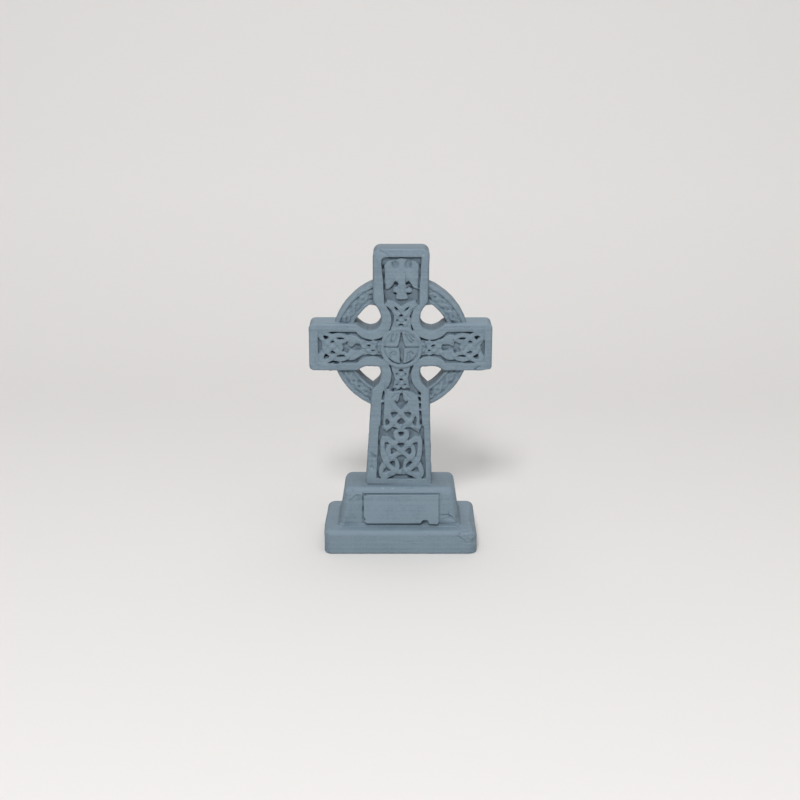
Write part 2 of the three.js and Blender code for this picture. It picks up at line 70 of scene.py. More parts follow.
NODE = "ringed_cross_memorial"
BODY = "root"

# The print is modelled in millimetres and scaled to metres at the end.
MM = 0.001
HEIGHT = (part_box(NODE)[1][2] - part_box(NODE)[0][2]) / MM
SPAN = (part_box(NODE)[1][0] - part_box(NODE)[0][0]) / MM
SLAB_DEPTH = (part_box(NODE)[1][1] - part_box(NODE)[0][1]) / MM

# Slab and sloped plinth
SLAB_WIDTH = 30.3
SLAB_HEIGHT = 4.75
SLAB_CORNER = 1.7
SLAB_EDGE = 1.0
SLAB_FOOT_EDGE = 0.3
PLINTH_X = -0.2
PLINTH_FOOT = (24.3, 13.4)
PLINTH_TOP = (21.9, 11.2)
PLINTH_HEIGHT = 7.7
PLINTH_TOP_Z = SLAB_HEIGHT + PLINTH_HEIGHT
PLINTH_SKIRT = (24.9, 13.9)
PLINTH_CORNER = 1.3
PLINTH_EDGE = 1.15

# Cross
THICKNESS = 6.8
FRONT = -THICKNESS / 2
BACK = THICKNESS / 2
SHAFT_FOOT = 13.2
SHAFT_NECK = 10.7
SHAFT_FOOT_X = -0.4
ARM_HEIGHT = 9.4
ARM_Z = 40.6
ARM_TOP = ARM_Z + ARM_HEIGHT / 2
ARM_FOOT = ARM_Z - ARM_HEIGHT / 2
LIMB_NECK = 10.6
LIMB_TOP = 10.9
LIMB_CORNER = 1.4
ARM_CORNER = 1.0
CARVING_X = 0.15
CARVING_Z = 40.5
HOLLOW_ACROSS = 5.75
HOLLOW_UP = 5.5
HOLLOW_RADIUS = 2.05
BORDER_AT_HOLLOWS = 1.8
PANEL_FOOT = 13.6
PANEL_CORNER = 0.9

# Ring
RING_Z = 40.85
RING_OUTER = 13.35
RING_INNER = 10.0
RING_STRETCH = 1.02
RING_THICKNESS = 5.0
RING_OUTER_RIM = 0.8
RING_INNER_RIM = 0.55
RING_BAND_DEPTH = 0.3
RING_SOFT = 0.4
BRAID_PERIOD = 17.0
BRAID_WIDTH = 0.58
BRAID_START = 20
BRAID_STEP = 2
BRAID_STEPS = 25

# Boss
BOSS_RADIUS = 4.15
BOSS_RIM = 0.85
BOSS_PROUD = 0.15
BOSS_SINK = 0.5

PETALS_UP = 0.12
CURL_WIDTH = 0.13
CURL_DEPTH = 0.28

# Tops of the strands, plates and fills and the floor of the dimples, back from the front
STRAND_SINK = 0.08
WEB_SINK = 0.21
BORDER_FILL_SINK = 0.03
DIMPLE_DEPTH = 0.42

# Gaps go deeper than the panel's floor, and those whose box is under SMALL_GAP square
# millimetres go deeper still.
GAP_DEEPER = 0.1
SMALL_GAP = 0.9
SMALL_GAP_DEEPER = 0.45

# Neck plaits
PLAIT_SPACING = 1.8
PLAIT_REACH = 1.15
PLAIT_WIDTH = 0.66
PLAIT_START = 4.3
PLAIT_END = 8.1
PLAIT_STRANDS = 4
PLAIT_PARTS = 6
PLAIT_PHASE = 1.17
PLAIT_BEND = 0.97

# Plaque
PLAQUE_WIDTH = 15.0
PLAQUE_HEIGHT = 5.8
PLAQUE_FOOT = 0.65
PLAQUE_PROUD = 0.7
PLAQUE_GAP = 0.2
PLAQUE_SEAT = 0.28
PLAQUE_CHIP_DEPTH = 0.35
PLINTH_LEAN = math.atan2((PLINTH_FOOT[1] - PLINTH_TOP[1]) / 2, PLINTH_HEIGHT)
PLAQUE_LEAN = PLINTH_LEAN * 1.25

# How far parts run into each other
OVERLAP = 0.4

# Fineness of the mesh
ROUTE_STEP = 0.16
SCRATCH_STEP = 0.2
SOFTEN = 0.25
MOST_TRIANGLES = 190000

# Unevenness of walls and of the ring's band, as shares of the surface's unevenness
WALL_RAGGED = 1.6
BAND_RAGGED = 3.5

# Gaps darken with painted shade as they lie behind what is around them, and edges grow paler
# with wear and a painted highlight as they stand before it, by these millimetres.
GAP_FROM = 0.03
GAP_FULL = 0.36
WEAR_AND_HIGHLIGHT_FULL = 0.22

# Painted shade that a panel's floor adds to a gap's, and the most painted shade that both give
PANEL_SHADE = 0.32
MOST_SHADE = 1.3

# The plastic's patterns, in scale per metre, and its surface; the bump's depth in millimetres
WOBBLE_SCALE = 90.0
CLOUD_SCALE = 260.0
BAND_SCALE = 1400.0
SPECKLE_SCALE = 2600.0
GRIT_SCALE = 4200.0
PLASTIC_ROUGHNESS = 0.58
BUMP_STRENGTH = 0.5
BUMP_DEPTH = 0.045

# Lamps, in metres and watts: [name, place, size, power]
LAMPS = [
    ("key", (-0.05, -0.47, 0.41), 0.11, 2.35),
    ("ceiling", (0.0, -0.02, 0.9), 0.9, 3.3),
    ("fill", (0.45, -0.6, 0.3), 0.5, 0.3),
]
LAMP_AIM = (0, 0, 0.03)
AIR_COLOUR = (0.97, 0.985, 1.0, 1)
AIR_STRENGTH = 0.24

# Sweep behind and under the print, in metres
SWEEP_HALF_WIDTH = 0.9
SWEEP_FRONT = -0.7
SWEEP_BACK = 0.42
SWEEP_HEIGHT = 0.9
SWEEP_BEND = 0.3

# Camera, read off the photo's perspective, in millimetres
PHOTO_SIDE = 800
FOCAL_PIXELS = 1400
SENSOR = 36.0
CAMERA_PLACE = (-0.11, -269.66, 102.54)
CAMERA_PITCH = 15.24


class MemorialSizes(bpy.types.PropertyGroup):
    """Sizes of the carving that a user would change."""

    border: FloatProperty(
        name="Border", description="Width of the raised border round the panels",
        default=1.6 * MM, min=0.5 * MM, max=3 * MM, unit="LENGTH", precision=5)
    panel_depth: FloatProperty(
        name="Panel depth", description="How far the panels are sunk",
        default=0.7 * MM, min=0.2 * MM, max=1.5 * MM, unit="LENGTH", precision=5)
    strand_width: FloatProperty(
        name="Strand width", description="Width of the shaft's strands",
        default=1.12 * MM, min=0.4 * MM, max=1.4 * MM, unit="LENGTH", precision=5)
    fine_strand_width: FloatProperty(
        name="Fine strand width", description="Width of the strands on arms and necks",
        default=0.88 * MM, min=0.3 * MM, max=1.1 * MM, unit="LENGTH", precision=5)
    weave: FloatProperty(
        name="Weave", description="How far a strand rises over and dips under another",
        default=0.15 * MM, min=0.0, max=0.3 * MM, unit="LENGTH", precision=5)
    edge: FloatProperty(
        name="Edge", description="Radius of the cross's outer edges",
        default=0.45 * MM, min=0.1 * MM, max=0.8 * MM, unit="LENGTH", precision=5)
    grain: FloatProperty(
        name="Grain", description="Size of the cells that the print is fused with",
        default=0.105 * MM, min=0.1 * MM, max=0.6 * MM, unit="LENGTH", precision=5)
    layer: FloatProperty(
        name="Layer", description="Height of one printed layer",
        default=0.12 * MM, min=0.05 * MM, max=0.4 * MM, unit="LENGTH", precision=5)
    raster: FloatProperty(
        name="Top raster", description="Spacing of the slanting lines on the flat tops",
        default=0.5 * MM, min=0.1 * MM, max=2 * MM, unit="LENGTH", precision=5)
    unevenness: FloatProperty(
        name="Unevenness", description="How far the surface wanders from true",
        default=0.045 * MM, min=0.0, max=0.2 * MM, unit="LENGTH", precision=5)


class MemorialColours(bpy.types.PropertyGroup):
    """Colours of the plastic, of its painted shade and light, and of the studio."""

    plastic: FloatVectorProperty(
        name="Plastic", description="Blue-grey of the printed plastic",
        default=(0.104, 0.154, 0.196), size=3, subtype="COLOR", min=0, max=1)
    # Paler plastic for random mottling and wear, and painted light on raised edges and upward
    # faces.
    plastic_pale_and_lit: FloatVectorProperty(
        name="Worn plastic", description="Paler tone where the plastic is rubbed",
        default=(0.196, 0.264, 0.318), size=3, subtype="COLOR", min=0, max=1)
    # Painted shade: the colour that gaps and panel floors are darkened towards, where shade falls.
    painted_crevice_shade: FloatVectorProperty(
        name="Crevice", description="Darker tone deep in the gaps of the carving",
        default=(0.034, 0.047, 0.068), size=3, subtype="COLOR", min=0, max=1)
    fleck: FloatVectorProperty(
        name="Fleck", description="Pale flecks of stray plastic",
        default=(0.62, 0.66, 0.68), size=3, subtype="COLOR", min=0, max=1)
    floor: FloatVectorProperty(
        name="Floor", description="Pale floor and backdrop",
        default=(0.752, 0.734, 0.72), size=3, subtype="COLOR", min=0, max=1)


# Routes of the shaft's knots, [across from the carving's centre line, height], drawn once
# and mirrored. Each ends inside another strand.
SHAFT_ROUTES = [
    # arch over the heart and down the side
    [(0.1, 31.55), (-1.0, 31.45), (-2.1, 30.95), (-2.85, 30.0), (-3.15, 28.7), (-3.15, 27.2),
     (-3.3, 25.8), (-3.4, 24.8), (-3.2, 24.0)],
    # curl beside the slit, side of the heart, crossing above the diamond and out to a tip
    [(-0.5, 31.3), (-0.6, 30.6), (-1.1, 30.15), (-1.7, 29.6), (-1.55, 29.0), (-0.95, 28.3),
     (0, 27.25), (0.85, 26.2), (1.65, 25.3), (2.5, 24.5), (3.3, 24.05)],
    # bow under the diamond
    [(-2.4, 30.0), (-2.4, 28.3), (-2.3, 27.2), (-1.85, 26.2), (-1.1, 25.1), (0.1, 24.65)],
    # side band of the lower knot and bow under the slot
    [(-3.3, 22.35), (-3.65, 21.4), (-3.65, 20.0), (-3.55, 18.6), (-3.15, 17.4), (-2.3, 16.4),
     (-1.3, 15.45), (0.1, 15.05)],
    # diagonal from the other tip and the corner petal
    [(3.3, 22.3), (2.4, 21.65), (1.5, 20.95), (0.75, 20.3), (0, 19.65), (-0.8, 19.0),
     (-1.5, 18.4), (-2.3, 17.85), (-3.1, 17.1), (-3.75, 16.1), (-4.0, 15.0), (-3.7, 14.25),
     (-2.6, 14.4)],
    # side of the slot, inner loop and half of the round loop
    [(-2.9, 14.3), (-1.6, 14.95), (-0.85, 15.9), (-0.75, 16.9), (-1.2, 17.7), (-2.0, 18.2),
     (-2.45, 19.1), (-2.3, 20.0), (-1.6, 20.75), (-0.8, 21.25), (0, 21.6), (0.75, 22.1),
     (1.05, 22.9), (0.75, 23.7), (-0.1, 24.0)],
]

# Routes of an arm's knot, [out from the cross's centre, up from the arm's centre line],
# drawn once and mirrored up and down.
ARM_ROUTES = [
    # inner turn, diagonal, corner petal, back across the arm and round the hooked gap
    [(11.65, -0.1), (12.0, 0.5), (12.5, 1.0), (13.0, 1.55), (13.5, 2.05), (14.2, 2.6),
     (15.1, 2.8), (15.65, 2.4), (15.5, 1.8), (15.0, 1.4), (14.45, 0.95), (13.95, 0.45),
     (13.5, 0), (13.0, -0.5), (12.5, -1.0), (11.9, -1.25), (11.2, -1.3), (10.6, -1.7),
     (10.0, -2.1), (9.2, -2.0), (8.3, -1.45), (7.65, -0.8), (7.45, 0.1)],
    # turn at the end notch, over the lens and inwards beside the hooked gap
    [(15.1, -0.1), (14.95, 0.45), (14.5, 0.95), (14.0, 1.5), (13.5, 2.05), (12.8, 2.35),
     (11.8, 2.4), (10.9, 2.15), (10.3, 1.55), (9.7, 1.15), (8.9, 1.0), (8.0, 1.1), (7.2, 1.1)],
]

# Strands that open out from the upper neck under the bird, mirrored.
FORK_ROUTES = [
    [(-0.4, 47.9), (0.7, 48.6), (1.7, 49.3), (2.8, 49.6)],
    [(1.0, 47.2), (1.6, 48.2), (2.3, 48.9), (3.0, 49.4)],
]

# Outline of the spread bird: head, wing, ragged tip, claw, tail and back up the other side.
BIRD_OUTLINE = [
    (0.1, 58.12), (0.8, 58.0), (1.5, 57.7), (2.3, 57.75), (2.9, 57.5), (3.4, 57.0), (3.6, 56.2),
    (3.65, 54.0), (3.6, 52.15), (3.0, 52.2), (2.4, 52.55), (2.25, 52.8), (2.0, 53.2), (1.7, 53.55),
    (1.3, 53.4), (1.05, 53.0), (1.1, 52.7), (1.6, 52.5), (2.1, 52.3), (2.25, 51.9), (2.1, 51.5),
    (1.4, 51.35), (1.3, 50.9), (1.5, 50.5), (1.2, 50.2), (0.1, 50.1), (-0.7, 50.2), (-0.95, 50.6),
    (-0.75, 51.1), (-1.1, 51.2), (-1.45, 51.7), (-1.5, 52.1), (-1.2, 52.5), (-0.75, 52.6),
    (-0.5, 53.0), (-0.65, 53.45), (-1.05, 53.5), (-1.4, 53.1), (-1.8, 52.6), (-2.1, 52.3),
    (-2.5, 52.05), (-3.1, 52.3), (-3.2, 54.0), (-3.2, 56.6), (-2.8, 57.3), (-2.2, 57.7),
    (-1.5, 57.75), (-1.0, 57.7), (-0.5, 58.0),
]

# The boss's petals from its middle: the inner edge, then the angles of the outer arc.
PETALS = [
    ([(3.1, 0.1), (1.0, 0.1), (0.75, 0.2), (0.42, 1.1), (0.22, 2.2), (0.1, 3.1)], 88, 2),
    ([(-0.1, 3.1), (-0.22, 2.2), (-0.42, 1.1), (-0.75, 0.2), (-1.0, 0.1), (-3.1, 0.1)], 178, 92),
    ([(-3.1, -0.1), (-0.8, -0.1), (-0.5, -0.25), (-0.28, -1.0), (-0.3, -2.0), (-0.25, -3.1)],
     266, 182),
    ([(0.33, -3.1), (0.47, -2.0), (0.52, -0.9), (0.52, -0.1), (3.1, -0.1)], -2, -83),
]

# Curls cut in the petals, from the boss's middle.
CURLS = [
    [(-0.8, 2.7), (-1.0, 1.75), (-1.55, 0.9)],
    [(-1.6, 2.5), (-1.95, 1.8), (-1.9, 0.95)],
    [(0.85, 2.5), (1.3, 1.5), (2.1, 0.9)],
    [(1.4, 2.4), (2.0, 1.6), (2.35, 1.3)],
    [(1.7, 2.4), (2.4, 1.95)],
    [(-2.1, -2.0), (-2.15, -1.5), (-1.9, -1.05), (-1.45, -0.95), (-1.1, -1.3), (-1.15, -1.8)],
    [(-1.8, -1.6), (-1.5, -1.45), (-1.45, -1.8)],
    [(1.15, -2.8), (1.2, -1.7), (1.45, -1.1), (2.05, -1.0), (2.3, -1.4)],
    [(1.65, -1.6), (1.7, -2.5)],
]

# Webs that join the strands just below their tops.
WEBS = [
    # upper knot of the shaft
    [(-0.9, 31.85), (0.2, 32.0), (1.2, 31.8), (2.2, 31.3), (2.9, 30.4), (3.35, 29.4),
     (3.6, 28.0), (3.65, 26.5), (3.7, 25.2), (3.65, 24.3), (3.7, 23.15), (2.7, 23.9),
     (2.0, 24.3), (1.2, 24.35), (0.6, 24.1), (-0.6, 24.0), (-1.2, 24.3), (-2.0, 24.4),
     (-2.6, 23.9), (-3.4, 23.8), (-3.6, 24.5), (-3.75, 25.5), (-3.6, 27.0), (-3.5, 28.5),
     (-3.1, 29.7), (-2.6, 30.7), (-1.8, 31.5)],
    # scrolls above it
    [(-3.5, 31.0), (-3.2, 31.9), (-2.7, 32.2), (-2.0, 32.1), (-1.9, 31.4), (-2.6, 30.6),
     (-3.2, 30.2)],
    # lower knot
    [(-3.4, 22.6), (-2.3, 22.0), (-1.5, 21.5), (-0.9, 21.9), (-1.3, 22.5), (-1.5, 23.2),
     (-1.2, 23.8), (-0.5, 24.3), (0.4, 24.4), (1.1, 24.1), (1.6, 23.6), (1.75, 22.9),
     (1.4, 22.2), (1.1, 21.8), (1.6, 21.55), (2.3, 21.9), (3.5, 22.7), (3.75, 21.8),
     (3.95, 20.5), (3.95, 19.0), (3.85, 18.0), (3.6, 17.1), (4.0, 16.3), (4.2, 15.3),
     (4.2, 14.4), (3.9, 13.75), (3.2, 13.65), (2.2, 14.2), (1.4, 14.6), (0.2, 14.5),
     (-0.9, 14.6), (-1.6, 14.2), (-2.4, 13.8), (-3.4, 13.6), (-4.0, 13.9), (-4.15, 14.9),
     (-4.0, 15.8), (-3.6, 16.6), (-3.5, 17.1), (-3.75, 17.8), (-3.95, 19.0), (-3.95, 20.5),
     (-3.8, 21.7)],
    # upper neck and the fork under the bird
    [(-2.7, 50.0), (-1.2, 49.8), (0.1, 48.8), (1.5, 49.6), (3.0, 50.0), (3.05, 49.3),
     (2.75, 48.5), (2.2, 47.7), (1.95, 47.05), (1.7, 46.8), (1.95, 46.4), (1.9, 45.5),
     (2.0, 44.9), (2.2, 44.2), (-2.0, 44.2), (-1.6, 45.0), (-1.3, 46.0), (-1.3, 46.8),
     (-1.6, 47.6), (-1.9, 48.3), (-2.3, 48.9)],
    # lower neck
    [(-1.9, 36.8), (1.95, 36.8), (1.65, 35.6), (1.4, 34.8), (1.5, 34.0), (1.75, 33.0),
     (1.9, 32.3), (1.0, 32.5), (0.1, 32.75), (-0.9, 32.3), (-1.6, 32.4), (-1.3, 33.2),
     (-1.15, 34.0), (-1.3, 35.0), (-1.6, 35.8)],
    # necks of the arms
    [(-3.9, 42.0), (-5.0, 41.8), (-6.3, 41.8), (-7.6, 42.2), (-8.3, 42.3), (-8.3, 41.4),
     (-7.6, 41.1), (-7.5, 40.3), (-8.2, 39.8), (-8.2, 39.1), (-7.3, 39.1), (-6.0, 39.2),
     (-3.9, 39.1)],
    [(4.2, 42.0), (5.2, 41.8), (6.6, 41.8), (7.9, 42.2), (8.6, 42.3), (8.6, 41.4), (7.9, 41.1),
     (7.8, 40.3), (8.5, 39.8), (8.5, 39.1), (7.6, 39.1), (6.3, 39.2), (4.2, 39.1)],
    # crossings of the arms
    [(-14.9, 41.3), (-13.4, 41.4), (-11.9, 41.3), (-11.6, 40.7), (-11.9, 40.0), (-13.4, 39.9),
     (-14.9, 40.0), (-15.1, 40.7)],
    [(15.2, 41.3), (13.7, 41.4), (12.2, 41.3), (11.9, 40.7), (12.2, 40.0), (13.7, 39.9),
     (15.2, 40.0), (15.4, 40.7)],
    # ends of the arms
    [(-16.4, 44.2), (-15.0, 44.2), (-15.0, 41.4), (-15.2, 41.2), (-15.95, 42.6), (-16.4, 43.3)],
    [(-15.15, 40.8), (-15.0, 40.6), (-15.0, 37.2), (-16.4, 37.2), (-16.4, 38.3), (-15.95, 39.3)],
    [(15.2, 44.2), (16.7, 44.2), (16.6, 43.1), (16.15, 41.9), (15.45, 40.75), (15.2, 41.2)],
    [(15.45, 40.5), (15.85, 39.9), (16.1, 39.2), (16.6, 38.4), (16.7, 37.2), (15.2, 37.2),
     (15.2, 40.2)],
    # hooks in the arms' gaps
    [(-10.3, 42.0), (-9.9, 41.8), (-9.2, 41.9), (-9.0, 41.2), (-9.3, 40.75), (-9.8, 40.65),
     (-10.2, 40.95), (-10.4, 41.3)],
    [(-10.3, 39.3), (-10.2, 39.9), (-9.6, 40.2), (-9.0, 40.1), (-8.4, 39.9), (-8.0, 39.4)],
    [(9.2, 42.0), (10.4, 42.0), (10.5, 41.3), (10.3, 40.8), (9.8, 40.95), (9.3, 41.3)],
    [(8.6, 39.7), (9.2, 40.0), (9.7, 40.3), (10.3, 40.4), (10.4, 39.9), (10.3, 39.3)],
]

# Where the border stands further in than its even width, and filaments across the gaps.
BORDER_FILLS = [
    [(3.95, 57.0), (3.85, 54.5), (3.68, 52.0), (3.62, 49.0), (4.4, 49.0), (4.4, 57.0)],
    [(-3.65, 56.6), (-3.42, 54.0), (-3.3, 52.0), (-3.15, 49.0), (-4.2, 49.0), (-4.2, 56.6)],
    [(-4.5, 24.6), (-4.05, 24.6), (-3.9, 26.5), (-3.8, 28.5), (-3.72, 30.2), (-3.6, 31.2),
     (-3.3, 32.0), (-4.5, 32.0)],
    [(4.7, 24.6), (4.3, 24.6), (4.12, 26.5), (4.02, 28.5), (3.98, 30.5), (3.9, 31.3),
     (3.2, 32.2), (4.7, 32.2)],
    [(-4.0, 29.2), (-3.0, 29.85), (-2.9, 30.2), (-4.0, 29.75)],
    [(3.2, 30.75), (4.1, 30.55), (4.1, 30.75), (3.2, 30.95)],
    [(3.4, 29.45), (4.1, 29.25), (4.1, 29.5), (3.4, 29.7)],
    [(3.5, 27.9), (4.2, 27.7), (4.2, 27.85), (3.5, 28.05)],
]

# Shallow hollows in the bird's shoulders.
DIMPLES = [
    [(-1.65, 57.35), (-1.62, 56.75), (-1.4, 56.35), (-1.0, 56.2), (-0.65, 56.35), (-0.45, 56.8),
     (-0.5, 57.3), (-0.85, 57.55), (-1.3, 57.55)],
    [(0.85, 57.0), (0.95, 56.35), (1.3, 56.22), (1.85, 56.3), (2.1, 56.8), (2.08, 57.5),
     (1.65, 58.05), (1.3, 57.7), (1.0, 57.4)],
]

